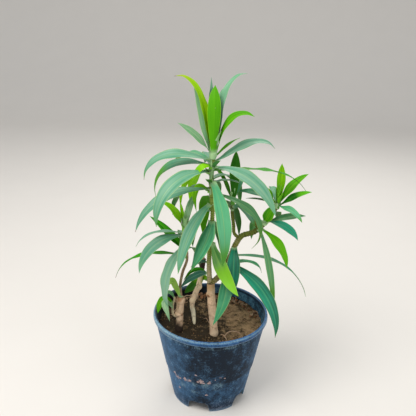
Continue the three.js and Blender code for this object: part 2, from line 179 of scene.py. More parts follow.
class PotSettings(bpy.types.PropertyGroup):
    """The nursery pot"""

    deep: colour_property("Deep blue", "Colour of the plastic where it is least worn", 9, 25, 40)
    # Worn blue also paints a reflection on the sides of the pot
    worn: colour_property("Worn blue", "Colour of the plastic where sun and handling paled it", 64, 108, 148)
    rim: colour_property("Rim blue", "Colour of the rolled rim", 44, 92, 142)
    # The scratch colour also paints the highlights and the reflection on the rim
    scuff_and_highlight: colour_property("Scuffs", "Colour of scratches and chalky marks", 142, 174, 182)
    mud: colour_property("Mud", "Colour of dry soil on the plastic", 146, 120, 102)
    fleck: colour_property("Flecks", "Colour of the chips along the step of the wall", 216, 186, 174)
    unevenness: length_property("Unevenness", "How far the thin wall bulges in and out", 0.5)


class SoilSettings(bpy.types.PropertyGroup):
    """The soil and what lies on it"""

    moist: colour_property("Moist soil", "Colour of the damp soil", 38, 30, 17)
    # The dry colour also paints light on the soil's right front
    dry: colour_property("Dry soil", "Colour of the dry crust", 146, 120, 88)
    litter: colour_property("Litter", "Colour of bits of dead leaf", 150, 98, 58)
    relief: length_property("Relief", "Height of the lumps of the surface", 2.6)
    clod_size: length_property("Clod size", "Radius of the largest loose clods", 3.6)
    clod_spacing: length_property("Clod spacing", "Least distance between loose clods", 5.2)
    grit_spacing: length_property("Grit spacing", "Least distance between loose grains", 3.4)
    seed: count_property("Seed", "Where clods and litter fall", 4)


class StemSettings(bpy.types.PropertyGroup):
    """Canes, shoots and their bark"""

    cane: colour_property("Cane", "Colour of the old canes", 232, 198, 162)
    cane_dark: colour_property("Cane cracks", "Colour of the cracks and scars of the canes", 128, 92, 64)
    shoot: colour_property("Shoot foot", "Colour of the woody foot of the main stem", 184, 172, 128)
    olive: colour_property("Olive stem", "Colour of the green stems", 140, 132, 70)
    shoot_dark: colour_property("Shoot scars", "Colour of the leaf scars of the younger stems", 52, 44, 22)
    cane_ring: length_property("Cane ring spacing", "Distance between the scars of a cane", 27)
    shoot_ring: length_property("Shoot ring spacing", "Distance between the scars of a shoot", 4.8)
    sides: count_property("Sides", "Corners round a limb", 28, 8, 64)


class LeafSettings(bpy.types.PropertyGroup):
    """The strap leaves"""

    thickness: length_property("Thickness", "Thickness of a blade along its midrib", 0.7)
    midrib: length_property("Midrib depth", "Depth of the crease along a blade", 0.5)
    wave: length_property("Wave height", "How far a blade's edges rise and fall", 1.1)
    wave_length: length_property("Wave length", "Distance between the waves of an edge", 46)
    sides: count_property("Sides", "Corners round a blade", 28, 8, 64)
    steps: count_property("Steps", "Rings along a blade", 34, 8, 80)


class StageSettings(bpy.types.PropertyGroup):
    """Floor and light"""

    floor: colour_property("Floor", "Colour of the plain floor", 226, 221, 214)
    key_power: power_property("Key light", "Power of the large light above", 42)
    fill_power: power_property("Fill light", "Power of the light from the right", 10)
    sky: power_property("Sky", "Strength of the light from all round", 0.6, "NONE")


# Node trees


def term(operation, reflected=False):
    """A method that puts a wire and another term together in one sum."""

    def method(self, other):
        return self.board.sum(operation, *((other, self) if reflected else (self, other)))

    return method


class Wire:
    """An output of a node, which can stand in a sum."""

    def __init__(self, board, socket):
        self.board = board
        self.socket = socket

    def output(self, name):
        """Another output of the same node."""
        return Wire(self.board, socket_named(self.socket.node.outputs, name))

    def __abs__(self):
        return self.board.sum("ABSOLUTE", self)

    __add__, __radd__ = term("ADD"), term("ADD", True)
    __sub__, __rsub__ = term("SUBTRACT"), term("SUBTRACT", True)
    __mul__, __rmul__ = term("MULTIPLY"), term("MULTIPLY", True)
    __truediv__, __rtruediv__ = term("DIVIDE"), term("DIVIDE", True)
    __pow__, __rpow__ = term("POWER"), term("POWER", True)


def socket_named(sockets, name):
    """A socket by its identifier or name among those in use."""
    for socket in sockets:
        if socket.enabled and name in (socket.identifier, socket.name):
            return socket
    raise KeyError(f"no socket {name} among {[s.name for s in sockets]}")


class Board:
    """The nodes of one tree, of a material or of geometry."""

    def __init__(self, tree):
        self.tree = tree

    def add(self, kind, *terms, **values):
        """A node. Terms go into its first sockets. A small name is a setting, a capital one a socket's."""
        node = self.tree.nodes.new(kind)
        for title, value in values.items():
            if title[0].islower():
                setattr(node, title, value)
        for place, value in enumerate(terms):
            self.feed(node.inputs[place], value)
        for title, value in values.items():
            if title[0].isupper():
                self.feed(socket_named(node.inputs, title.replace("_", " ")), value)
        shown = [socket for socket in node.outputs if socket.enabled]
        return Wire(self, shown[0]) if shown else node

    def shape(self, kind, *terms, **values):
        """A node of geometry."""
        return self.add("GeometryNode" + kind, *terms, **values)

    def feed(self, socket, value):
        """Sets or links a socket. A list is several links to the same one."""
        if isinstance(value, (Wire, list)):
            for wire in value if isinstance(value, list) else [value]:
                self.tree.links.new(wire.socket, socket)
        else:
            socket.default_value = value

    def sum(self, operation, *terms):
        return self.add("ShaderNodeMath", *terms, operation=operation)

    def clamp(self, value):
        return self.add("ShaderNodeClamp", Value=value)

    def length(self, x, y):
        return self.sum("SQRT", x ** 2.0 + y ** 2.0)

    def between(self, value, low, high):
        """0 where the value is at low, 1 where it is at high, smooth between."""
        return self.add("ShaderNodeMapRange", value, low, high, interpolation_type="SMOOTHSTEP")

    def near(self, value, middle, far, close):
        """1 where the value is this close to a middle, 0 where it is this far from it."""
        return self.between(abs(value - middle), far, close)

    def mix(self, factor, a, b):
        """A blend of two colours."""
        return self.add("ShaderNodeMix", data_type="RGBA", Factor=factor, A=a, B=b)

    def vector(self, x, y, z):
        return self.add("ShaderNodeCombineXYZ", x, y, z)

    def parts(self, vector):
        """The three numbers of a vector."""
        node = self.add("ShaderNodeSeparateXYZ", vector)
        return [node.output(axis) for axis in "XYZ"]

    def along(self, operation, *terms, **values):
        """A sum on vectors."""
        return self.add("ShaderNodeVectorMath", *terms, operation=operation, **values)

    def noise(self, vector, scale, detail=2.0, roughness=0.5):
        return self.add("ShaderNodeTexNoise", Vector=vector, Scale=scale, Detail=detail, Roughness=roughness)

    def attribute(self, title):
        """In a material, a number that the mesh holds under this name."""
        return self.add("ShaderNodeAttribute", attribute_name=title).output("Fac")

    def place(self):
        """The place on a piece, in metres from the pot's axis at the floor."""
        at = self.add("ShaderNodeTexCoord").output("Object")
        return self.add("ShaderNodeMapping", vector_type="POINT", Vector=at, Location=-AXIS)

    def bump(self, height, distance, strength=1.0):
        return self.add("ShaderNodeBump", Height=height, Distance=distance, Strength=strength)


def new_finish(name, paint):
    """A material whose sockets paint(board) gives as a dictionary."""
    material = bpy.data.materials.new(name)
    material.use_nodes = True
    material.node_tree.nodes.clear()
    board = Board(material.node_tree)
    surface = board.add("ShaderNodeBsdfPrincipled", **paint(board))
    board.add("ShaderNodeOutputMaterial", Surface=surface)
    return material


class Growth(Board):
    """A Geometry Nodes tree with named inputs, which turns an object's mesh into another."""

    KINDS = {
        "number": "NodeSocketFloat", "count": "NodeSocketInt", "finish": "NodeSocketMaterial",
        "object": "NodeSocketObject",
    }

    def __init__(self, name, **kinds):
        """Each kind of input comes with its names, parted by commas."""
        super().__init__(bpy.data.node_groups.new(name, "GeometryNodeTree"))
        make = self.tree.interface.new_socket
        for way in ("INPUT", "OUTPUT"):
            make("Geometry", in_out=way, socket_type="NodeSocketGeometry")
        for kind, titles in kinds.items():
            for title in titles.split(", "):
                make(title, in_out="INPUT", socket_type=self.KINDS[kind])
        self.start = self.add("NodeGroupInput")

    def input(self, title):
        return self.start.output(title)

    def named(self, title, kind="FLOAT"):
        """A value that the mesh holds under this name."""
        return self.shape("InputNamedAttribute", data_type=kind, Name=title)

    def store(self, geometry, title, value, kind="FLOAT", domain="POINT"):
        return self.shape(
            "StoreNamedAttribute", data_type=kind, domain=domain, Geometry=geometry, Name=title, Value=value
        )

    def lines(self):
        """The mesh's open lines as curves, with the way that the mesh says each point faces."""
        curves = self.shape("MeshToCurve", Mesh=self.input("Geometry"))
        face = self.named("face", "FLOAT_VECTOR")
        return self.shape("SetCurveNormal", mode="FREE", Curve=curves, Normal=face)

    def circle(self, sides, radius=1.0):
        return self.shape("CurvePrimitiveCircle", Resolution=sides, Radius=radius)

    def swept(self, curves, section, girth):
        return self.shape("CurveToMesh", Curve=curves, Profile_Curve=section, Scale=girth, Fill_Caps=True)

    def pushed(self, geometry, way, far):
        """The geometry with each point moved that far along its way."""
        offset = self.along("SCALE", way, Scale=far)
        return self.shape("SetPosition", Geometry=geometry, Offset=offset)

    def finish(self, geometry, smooth=True):
        """Ends the tree: instances made real, the shading and the material."""
        real = self.shape("RealizeInstances", Geometry=geometry)
        shaded = self.shape("SetShadeSmooth", Geometry=real, Shade_Smooth=smooth)
        painted = self.shape("SetMaterial", Geometry=shaded, Material=self.input("Finish"))
        self.add("NodeGroupOutput", Geometry=painted)
        return self

    def applied(self, thing, **values):
        """Runs the tree on an object with these inputs, and leaves the result as its plain mesh."""
        modifier = thing.modifiers.new(self.tree.name, "NODES")
        modifier.node_group = self.tree
        for item in self.tree.interface.items_tree:
            title = item.name.replace(" ", "_")
            if item.in_out == "INPUT" and title in values:
                modifier[item.identifier] = values[title]
        bpy.context.view_layer.update()
        depsgraph = bpy.context.evaluated_depsgraph_get()
        evaluated = thing.evaluated_get(depsgraph)
        mesh = bpy.data.meshes.new_from_object(evaluated, preserve_all_data_layers=True, depsgraph=depsgraph)
        thing.modifiers.remove(modifier)
        thing.data = mesh
        mesh.name = thing.name
        return thing


# Meshes


def linked(name, data):
    """A new object at the origin, in the scene."""
    thing = bpy.data.objects.new(name, data)
    bpy.context.scene.collection.objects.link(thing)
    return thing


def new_piece(name, points, faces, finish=None):
    """An object at the origin with a smooth mesh of these points and faces."""
    mesh = bpy.data.meshes.new(name)
    mesh.from_pydata([tuple(p) for p in points], [], faces)
    mesh.validate()
    mesh.polygons.foreach_set("use_smooth", [True] * len(mesh.polygons))
    if finish:
        mesh.materials.append(finish)
    return linked(name, mesh)


def give(mesh, title, values, kind="FLOAT"):
    """Lets a mesh's points hold values under a name."""
    layer = mesh.attributes.new(title, kind, "POINT")
    layer.data.foreach_set("vector" if kind == "FLOAT_VECTOR" else "value", values)


def settled(piece, slot, *nodes):
    """Rides the piece on the plant's one body, and hides the model's nodes that it stands for. The slot is
    not used.
    """
    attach(piece, "root")
    if nodes:
        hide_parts(*nodes)
    return piece


def joined(name, pieces):
    """Several pieces as one object."""
    bpy.ops.object.select_all(action="DESELECT")
    for piece in pieces:
        piece.select_set(True)
    bpy.context.view_layer.objects.active = pieces[0]
    bpy.ops.object.join()
    pieces[0].name = name
    pieces[0].data.name = name
    return pieces[0]


def held(value):
    """A number held between 0 and 1."""
    return min(max(value, 0), 1)


def way_round(turn, radius=1.0, z=0.0):
    """A place at a turn round the upright axis, in radians."""
    return Vector((radius * math.cos(turn), radius * math.sin(turn), z))


def square_to(way, along):
    """The part of a way that is square to another, as a unit."""
    return (way - along * way.dot(along)).normalized()


def run_at(points, k):
    """The way that a line of points takes at one of them."""
    return (points[min(k + 1, len(points) - 1)] - points[max(k - 1, 0)]).normalized()


def ring_faces(rings, columns, first=0):
    """Faces between rings of equal count, each closed round, the first ring first."""
    faces = []
    for r in range(rings - 1):
        for c in range(columns):
            a, b = (first + r * columns + d % columns for d in (c, c + 1))
            faces.append((a, b, b + columns, a + columns))
    return faces


def fan_faces(tip, first, columns):
    """Triangles from one point to a ring, whose points start at first."""
    return [(tip, first + c, first + (c + 1) % columns) for c in range(columns)]


def cap_face(first, columns):
    """One face that closes a ring from below."""
    return tuple(first + c for c in reversed(range(columns)))


def smooth_line(points, place):
    """A point of the smooth line through these points, at a place counted in points."""
    k = min(max(int(place), 0), len(points) - 2)
    t = place - k
    b, c = points[k], points[k + 1]
    a = points[k - 1] if k else b + (b - c)
    d = points[k + 2] if k + 2 < len(points) else c + (c - b)
    return (
        b
        + (c - a) * (0.5 * t)
        + (a - b * 2.5 + c * 2 - d * 0.5) * t ** 2
        + (b * 1.5 - a * 0.5 - c * 1.5 + d * 0.5) * t ** 3
    )


def chain(name, lines):
    """A mesh of open lines of points. Each point is (place, face, {name: number})."""
    mesh = bpy.data.meshes.new(name)
    points = [point for line in lines for point in line]
    edges = []
    first = 0
    for line in lines:
        edges += [(first + k, first + k + 1) for k in range(len(line) - 1)]
        first += len(line)
    mesh.from_pydata([tuple(point[0]) for point in points], edges, [])
    give(mesh, "face", [c for point in points for c in point[1]], "FLOAT_VECTOR")
    for title in points[0][2]:
        give(mesh, title, [point[2][title] for point in points])
    return linked(name, mesh)


# What the frame gives


def corners_of(node):
    """A node's corners without doubles, and the neighbours of each."""
    grid = 0.01 * MM
    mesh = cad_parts[node].data
    found = {}
    index = []
    for vertex in mesh.vertices:
        key = tuple(round(c / grid) for c in vertex.co)
        index.append(found.setdefault(key, len(found)))
    near = [set() for _ in found]
    for polygon in mesh.polygons:
        loop = [index[v] for v in polygon.vertices]
        for a, b in zip(loop, loop[1:] + loop[:1]):
            near[a].add(b)
            near[b].add(a)
    return [Vector(key) * grid for key in found], near


def steps_from(near, first):
    """Corners by their number of edges from the first ones."""
    seen = set(first)
    steps = [sorted(first)]
    while steps[-1]:
        steps.append(sorted({n for v in steps[-1] for n in near[v]} - seen))
        seen.update(steps[-1])
    return steps[:-1]


def middle_of(points):
    return sum(points, Vector()) / len(points)


def limb_line(node):
    """(centre, radius) of each whole ring of a limb's node, from its foot up."""
    points, near = corners_of(node)
    by_height = sorted(range(len(points)), key=lambda k: -points[k].z)
    top, second = by_height[:2]
    pointed = len(near[top]) == LIMB_CORNERS and points[top].z > points[second].z + MM
    steps = steps_from(near, by_height[:1] if pointed else by_height[:LIMB_CORNERS])
    line = [(points[top], 0.3 * MM)] if pointed else []
    for step in steps[1:] if pointed else steps:
        if len(step) != LIMB_CORNERS:
            break
        centre = middle_of([points[k] for k in step])
        line.append((centre, sum((points[k] - centre).length for k in step) / LIMB_CORNERS))
    return line[::-1]


def seat_near(point, lines):
    """(centre, direction, radius) of the limb with one of these lines that is nearest to a point."""
    best = None
    for line in lines:
        for (a, ra), (b, rb) in zip(line, line[1:]):
            share = held((point - a).dot(b - a) / (b - a).length_squared)
            centre = a.lerp(b, share)
            gap = (point - centre).length
            if best is None or gap < best[0]:
                best = (gap, centre, (b - a).normalized(), ra + (rb - ra) * share)
    return best[1:]


def limb_seat(line, z):
    """(centre, direction, radius) of a limb at a height."""
    for (a, ra), (b, rb) in zip(line, line[1:]):
        if b.z >= z:
            break
    share = held((z - a.z) / (b.z - a.z))
    return a.lerp(b, share), (b - a).normalized(), ra + (rb - ra) * share


class Ribbon:
    """A leaf's run: its midrib, the way its face looks, half its width and the limb that it grows on."""

    def __init__(self, name, centres, faces, halves, seat):
        self.name = name
        self.centres = centres
        self.faces = faces
        self.halves = halves
        self.width = 2 * max(halves)
        self.seat = seat


def leaf_ribbon(node, limbs, degrees):
    """The run of a leaf, read off the rings of its node and then turned about itself, from its foot on."""
    points, near = corners_of(node)
    for first in range(len(points)):
        steps = steps_from(near, [first])
        if all(len(step) == LEAF_CORNERS for step in steps[1:]):
            break
    centres = []
    sides = []
    crests = []
    for step in reversed(steps[1:]):
        ring = [points[k] for k in step]
        a, b = max(itertools.combinations(ring, 2), key=lambda pair: (pair[0] - pair[1]).length)
        side = b - a if not sides or (b - a).dot(sides[-1]) > 0 else a - b
        ring.sort(key=lambda point: point.dot(side))
        edges = [middle_of(ring[:2]), middle_of(ring[4:])]
        sides.append(edges[1] - edges[0])
        centres.append(middle_of(ring[2:4]))
        crests.append(middle_of(edges) - centres[-1])
    centres.append(points[first])
    faces = [run_at(centres, k).cross(side).normalized() for k, side in enumerate(sides)]
    if sum(face.dot(crest) for face, crest in zip(faces, crests)) <= 0:
        faces = [-face for face in faces]
    faces.append(faces[-1])
    faces = [rolled(face, run_at(centres, k), degrees, k / len(sides)) for k, face in enumerate(faces)]
    halves = [side.length / 2 for side in sides] + [0.0]
    return Ribbon(node, centres, faces, halves, seat_near(centres[0], limbs))


def rolled(face, along, degrees, share):
    """A face turned about its leaf's run, by a turn that is whole two fifths of the way up."""
    return Matrix.Rotation(math.radians(degrees) * min(1, 2.5 * share), 3, along) @ face


def outline(share, widest):
    """Half of a blade's width at a share of its length, as a share of the most."""
    if share < widest:
        return LEAF_NECK + (1 - LEAF_NECK) * math.sin(math.pi / 2 * share / widest) ** 1.3
    return 1 - ((share - widest) / (1 - widest)) ** 2.1


def grown_ribbon(name, seat, azimuth, slopes, size, bend=1.5, roll=0):
    """The run of a leaf from its azimuth, its slopes at both ends, length and width, in degrees and mm."""
    rise, fall = slopes
    length, width = size
    centre, along_limb, radius = seat
    heading = math.radians(azimuth)
    side = way_round(heading + math.pi / 2)

    def forward(share):
        slope = math.radians(rise + (fall - rise) * share ** bend)
        return way_round(heading, math.cos(slope), math.sin(slope))

    point = centre + square_to(way_round(heading), along_limb) * (radius + LEAF_GAP)
    fine = STATIONS * FINE_STEPS
    centres = []
    faces = []
    for k in range(STATIONS + 1):
        share = k / STATIONS
        centres.append(point.copy())
        faces.append(rolled(forward(share).cross(side), forward(share), roll, share))
        for step in range(FINE_STEPS):
            point += forward((k * FINE_STEPS + step + 0.5) / fine) * (length * MM / fine)
    halves = [width * MM / 2 * outline(k / STATIONS, 0.42) for k in range(STATIONS + 1)]
    return Ribbon(name, centres, faces, halves, seat)


def placed_ribbon(name, centres, width, facing, limbs):
    """The run of a leaf through its places, its upper side turned to one way."""
    places = [smooth_line(centres, (len(centres) - 1) * k / STATIONS) for k in range(STATIONS + 1)]
    faces = [square_to(facing, run_at(places, k)) for k in range(STATIONS + 1)]
    halves = [width / 2 * outline(k / STATIONS, 0.45) for k in range(STATIONS + 1)]
    return Ribbon(name, places, faces, halves, seat_near(places[0], limbs))


# Leaves


def blade_line(ribbon, steps, fold=0.14, dry=0.0, turn=NO_TIP):
    """The points of one blade, from its sheath round the limb to its tip. Its tip's colour starts at turn."""
    draw = random.Random(ribbon.name)
    seed = draw.random()
    spread = draw.uniform(0.7, 1.5)
    centre, along_limb, radius = ribbon.seat
    first = ribbon.centres[0]
    outward = square_to(first - centre, along_limb)
    upward = (ribbon.centres[1] - first).normalized().dot(along_limb) > 0.05
    size = ribbon.width / MATURE_WIDTH
    line = []
    for below in SHEATH_RINGS if upward else ():
        place = first - outward * (0.15 * MM) - along_limb * (below * size * MM)
        half = min(radius * 1.1, ribbon.width * 0.3) * (1.15 - 0.02 * below)
        line.append((place, -outward, half, 1.0, 0.0, -below * 0.005))
    for inside in () if upward else BURIED_RINGS:
        place = first - outward * (inside * MM)
        line.append((place, ribbon.faces[0], ribbon.width * 0.2, 0.3, fold, -inside * 0.005))
    last = len(ribbon.centres) - 1
    for k in range(steps + 1):
        share = 1 - (1 - k / steps) ** 1.2
        place = smooth_line(ribbon.centres, share * last)
        face = smooth_line(ribbon.faces, share * last).normalized()
        foot = ribbon.width / 2 * FOOT_WIDENING * max(1 - share / 0.3, 0)
        half = max(math.hypot(smooth_line(ribbon.halves, share * last), foot), LEAST_HALF)
        clasp = max((0.5 if upward else 0.3) - share / 0.1, 0)
        channel = fold * spread + (0.5 - fold) * max(1 - share / 0.22, 0) ** 2
        line.append((place, face, half, clasp, channel, share))
    places = [place for place, *_ in line]
    points = []
    reach = 0
    for k, (place, face, half, clasp, channel, share) in enumerate(line):
        reach += (place - places[max(k - 1, 0)]).length
        values = {
            "half_width": half, "clasp": clasp, "fold": channel, "share": share,
            "reach": reach, "leaf_seed": seed, "dry_tip": dry, "tip_turn": turn,
        }
        points.append((place, square_to(face, run_at(places, k)), values))
    return points


def leaf_growth():
    """Sweeps a lens-shaped section along each line: clasped round its limb, folded, with wavy edges."""
    board = Growth(
        "Leaf blades", count="Sides", number="Thickness, Midrib, Wave, Wave length", finish="Finish"
    )
    facing = board.lines()
    x, y, _ = board.parts(board.shape("InputPosition"))
    section = board.store(board.circle(board.input("Sides")), "across", x)
    section = board.store(section, "upper", y)
    section = board.shape("SetPosition", Geometry=section, Position=board.vector(0.0, x * -1.0, 0.0))
    half = board.named("half_width")
    across = board.named("across")
    edge = abs(across)
    share = board.named("share")
    seed = board.named("leaf_seed")
    clasp = 1 - board.sum("SQRT", 1.04 - across * across)
    channel = half * (board.named("clasp") * clasp + board.named("fold") * edge ** 1.2)
    crease = board.input("Midrib") * board.sum("EXPONENT", across * across * -60.0)
    lens = board.input("Thickness") * 0.5 * board.named("upper")
    turns = board.named("reach") / board.input("Wave length") + seed * 5.0
    phase = turns * math.tau + board.sum("SIGN", across) * 1.3
    ends = board.sum("SINE", board.clamp(share) * math.pi)
    wave = board.input("Wave") * edge ** 2.2 * board.sum("SINE", phase) * ends * (0.4 + seed)
    height = channel - crease * board.clamp(share * 12.0) * ends + lens + wave * board.clamp(half * 120.0)
    shaped = board.pushed(board.swept(facing, section, half), board.named("face", "FLOAT_VECTOR"), height)
    chart = board.vector(across * 0.5 + 0.5, share, 0.0)
    return board.finish(board.store(shaped, "blade", chart, "FLOAT2", "CORNER"))


def leaf_finish(name, colours, foot=(160, 194, 140), stripe=0.35, gloss=0.5):
    """A strap leaf: veins, a paler midrib and margin, its own colours at the foot and tip and underneath."""
    body, light, margin, tip, under = (tone(*colour) for colour in colours)

    def paint(board):
        across, share, _ = board.parts(board.add("ShaderNodeUVMap", uv_map="blade"))
        seed, upper, dry, turn = map(board.attribute, ("leaf_seed", "upper", "dry_tip", "tip_turn"))
        edge = abs(across * 2.0 - 1.0)
        veins = board.noise(board.vector(across * 30.0 + seed * 9.0, share * 1.1, seed * 7.0), 1.0, 3.0)
        bands = board.noise(board.vector(across * 5.0 + seed * 5.0, share * 0.9, seed * 3.0), 1.0, 2.0)
        mottle = board.noise(board.place(), 45.0, 2.0)
        streak = bands * 0.65 + veins * 0.35 + (seed - 0.5) * 0.2
        blade = board.mix(board.between(streak, 0.5 - stripe / 2, 0.5 + stripe / 2), body, light)
        rib = board.between(edge, 0.09, 0.02)
        below = board.between(upper, 0.0, -0.15)
        crisp = board.between(share + veins * 0.03, 1.01 - dry, 1.03 - dry) * board.between(dry, 0.0, 0.01)
        spots = board.noise(board.place(), 260.0, 1.0)
        for amount, colour in (
            (board.between(mottle, 0.45, 0.75) * 0.25, light),
            (rib * 0.3, margin),
            (board.between(share + veins * 0.2 - 0.1, turn, turn + 0.22), tip),
            (below * 0.85, under),
            (below * (1 - rib) * board.between(veins, 0.5, 0.35) * 0.35, body),
            (board.between(edge + (veins - 0.5) * 0.05, 0.9, 0.97) * 0.8, margin),
            (board.between(share, 0.1, -0.01), tone(*foot)),
            (board.between(spots, 0.79, 0.82) * 0.7, tone(150, 170, 120)),
            (crisp, tone(112, 74, 40)),
        ):
            blade = board.mix(amount, blade, colour)
        return dict(
            Base_Color=blade, Roughness=0.42 + veins * 0.12 + crisp * 0.3 + below * 0.12,
            Normal=board.bump(veins + rib * 0.2, 0.35 * MM, 0.55), Specular_IOR_Level=gloss,
        )

    return new_finish(name, paint)


# Looks: colours of the body, its streaks, the margin, tip and underside; other values; leaves of the model.
# Some are lit and shaded copies of the same leaf colour, for how light falls on each leaf
LEAF_LOOKS = {
    # Painted reflection: a pale grey sheen of the sky in the body's colour
    "grey_teal": (
        ((72, 140, 106), (120, 166, 136), (166, 190, 120), (104, 164, 120), (56, 128, 12)), {},
        "top_4 top_5 top_6 mid_1 mid_6 mid_8 left_3 left_4 left_5",
    ),
    "green_tipped": (
        ((66, 140, 104), (114, 166, 132), (166, 190, 110), (70, 142, 8), (70, 140, 2)), {},
        "mid_2 mid_3 mid_5 low_1",
    ),
    # Painted light: a paler copy for leaves that stand in shade
    "pale_grey": (
        ((110, 160, 112), (152, 188, 142), (180, 202, 136), (120, 168, 100), (96, 150, 70)),
        {"gloss": 0.4}, "top_2 top_8 left_7",
    ),
    "mossy": (
        ((96, 176, 0), (136, 204, 8), (150, 190, 40), (46, 108, 20), (110, 188, 0)),
        {"stripe": 0.3, "gloss": 0.15},
        "",
    ),
    "pale_lime": (
        ((150, 196, 74), (182, 216, 108), (190, 214, 130), (140, 180, 130), (120, 170, 110)),
        {"gloss": 0.3}, "",
    ),
    "shaded": (
        ((8, 58, 38), (36, 98, 76), (140, 178, 128), (60, 116, 90), (30, 84, 40)), {"gloss": 0.4},
        "",
    ),
    "teal": (
        ((36, 128, 82), (84, 170, 116), (156, 190, 104), (62, 140, 14), (66, 134, 30)), {},
        "mid_7 low_2 right_2 right_3 right_12 right_13 back_1 back_3",
    ),
    "deep_teal": (
        ((0, 90, 62), (12, 142, 106), (116, 166, 90), (50, 132, 30), (60, 124, 50)), {"gloss": 0.4},
        "right_1 right_4 right_8",
    ),
    "soft_green": (
        ((50, 112, 62), (90, 144, 92), (160, 190, 96), (76, 134, 24), (50, 110, 14)), {"gloss": 0.3},
        "mid_9 right_7 right_5",
    ),
    "dark_green": (
        ((10, 84, 0), (54, 146, 0), (110, 168, 20), (84, 168, 4), (40, 104, 6)),
        {"foot": (96, 158, 60), "stripe": 0.2, "gloss": 0.12},
        "back_shoot_1 left_2 left_6 mid_10 right_11",
    ),
    "bright_green": (
        ((46, 124, 0), (90, 168, 2), (150, 204, 30), (76, 160, 4), (84, 160, 6)),
        {"stripe": 0.25, "gloss": 0.12},
        "top_3 top_7 right_6 right_10 back_4",
    ),
    "lime": (
        ((96, 176, 0), (136, 204, 8), (176, 218, 50), (132, 192, 10), (110, 188, 0)),
        {"foot": (124, 190, 60), "stripe": 0.3, "gloss": 0.15},
        "right_9 left_1",
    ),
    "sunlit_lime": (
        ((150, 226, 10), (188, 244, 50), (206, 240, 110), (160, 226, 20), (150, 224, 10)),
        {"stripe": 0.3, "gloss": 0.15},
        "mid_4 back_2",
    ),
    "yellow_lime": (
        ((102, 166, 0), (142, 190, 4), (176, 210, 40), (146, 176, 6), (104, 176, 0)),
        {"stripe": 0.3, "gloss": 0.15},
        "top_1",
    ),
    "lime_tipped": (
        ((68, 140, 64), (126, 176, 92), (172, 210, 90), (122, 186, 36), (100, 170, 24)), {"gloss": 0.2},
        "low_3",
    ),
}
YOUNG_LOOKS = ("bright_green", "lime", "sunlit_lime", "yellow_lime", "pale_lime", "mossy")
SOFT_HEART = (
    ((112, 172, 96), (158, 200, 152), (196, 218, 150), (104, 176, 60), (150, 194, 128)),
    {"foot": (168, 196, 150), "gloss": 0.3},
)
FRESH_HEART = (
    ((84, 166, 10), (124, 196, 40), (160, 210, 70), (104, 176, 20), (100, 176, 30)),
    {"foot": (128, 186, 90), "gloss": 0.2},
)

# Degrees that a leaf of the model turns about its own run, to show its face as the photo has it
LEAF_TURNS = {"mid_4": 40, "top_2": -35}
# Share of its length where a leaf starts to take its tip's colour, and the dead share at its end
TIP_TURNS = {
    "mid_2": 0.8, "mid_3": 0.46, "mid_5": 0.82, "mid_8": 0.7, "mid_7": 0.66, "mid_9": 0.6, "low_1": 0.85,
    "low_2": 0.8, "low_3": 0.3, "top_1": 0.7, "top_6": 0.45, "left_4": 0.7, "left_5": 0.75, "left_7": 0.7,
    "right_4": 0.88, "right_5": 0.6, "right_11": 0.5, "right_12": 0.75, "back_shoot_1": 0.75,
}
DRY_TIPS = {"mid_6": 0.03, "mid_2": 0.02, "left_6": 0.04, "right_4": 0.02, "top_1": 0.03, "low_3": 0.02}

# Smaller leaves that the model leaves out: look, limb, height, azimuth, slopes, length and width
SMALL_LEAVES = (
    ("bright_green", "main_stem", 554, 40, (38, 8), (72, 9), {}),
    ("dark_green", "second_shoot", 404, 160, (66, 34), (55, 13), {}),
    ("teal", "right_bough", 329, 0, (18, -84), (81, 18), {"bend": 2}),
    ("bright_green", "right_heart", 452, 200, (62, 40), (52, 24), {"roll": -30}),
    ("bright_green", "right_heart", 455, 45, (45, 30), (55, 12), {}),
    ("dark_green", "right_heart", 450, 168, (10, -6), (60, 14), {}),
    ("lime", "left_heart", 402, 120, (76, 58), (54, 9), {}),
    ("pale_grey", "main_stem", 524, 200, (54, 20), (36, 12), {}),
    ("grey_teal", "main_stem", 534, 300, (58, 10), (38, 13), {}),
    ("grey_teal", "main_stem", 512, 325, (40, -10), (44, 13), {}),
    ("soft_green", "main_stem", 503, 250, (52, 5), (30, 12), {}),
    ("grey_teal", "main_stem", 506, 352, (20, -25), (54, 16), {}),
    # The back of the crown, which the photo hides
    ("grey_teal", "main_heart", 574, 80, (72, 10), (120, 20), {"bend": 2}),
    ("teal", "main_stem", 541, 128, (20, -70), (150, 25), {}),
    ("grey_teal", "main_stem", 534, 98, (24, -66), (140, 24), {}),
    ("teal", "main_stem", 499, 85, (2, -92), (172, 27), {"bend": 1.1}),
    ("grey_teal", "main_stem", 488, 135, (6, -88), (160, 25), {"bend": 1.2}),
    ("soft_green", "main_stem", 468, 55, (-6, -90), (165, 25), {"bend": 1}),
    ("teal", "main_stem", 446, 120, (-10, -95), (150, 26), {"bend": 0.9}),
    ("deep_teal", "main_stem", 420, 75, (-12, -92), (140, 25), {"bend": 0.9}),
    ("teal", "right_heart", 452, 95, (30, -40), (92, 18), {}),
    ("soft_green", "right_bough", 424, 70, (10, -75), (110, 21), {"bend": 1.2}),
    ("teal", "right_bough", 408, 100, (0, -85), (120, 22), {"bend": 1.1}),
    ("deep_teal", "left_heart", 404, 40, (40, -50), (96, 17), {}),
    ("grey_teal", "left_shoot", 376, 100, (12, -80), (120, 22), {"bend": 1.2}),
    ("teal", "left_shoot", 352, 70, (-4, -88), (112, 22), {"bend": 1}),
    ("teal", "back_heart", 458, 70, (50, -30), (90, 19), {}),
    ("bright_green", "back_heart", 462, 150, (70, 30), (80, 16), {}),
)
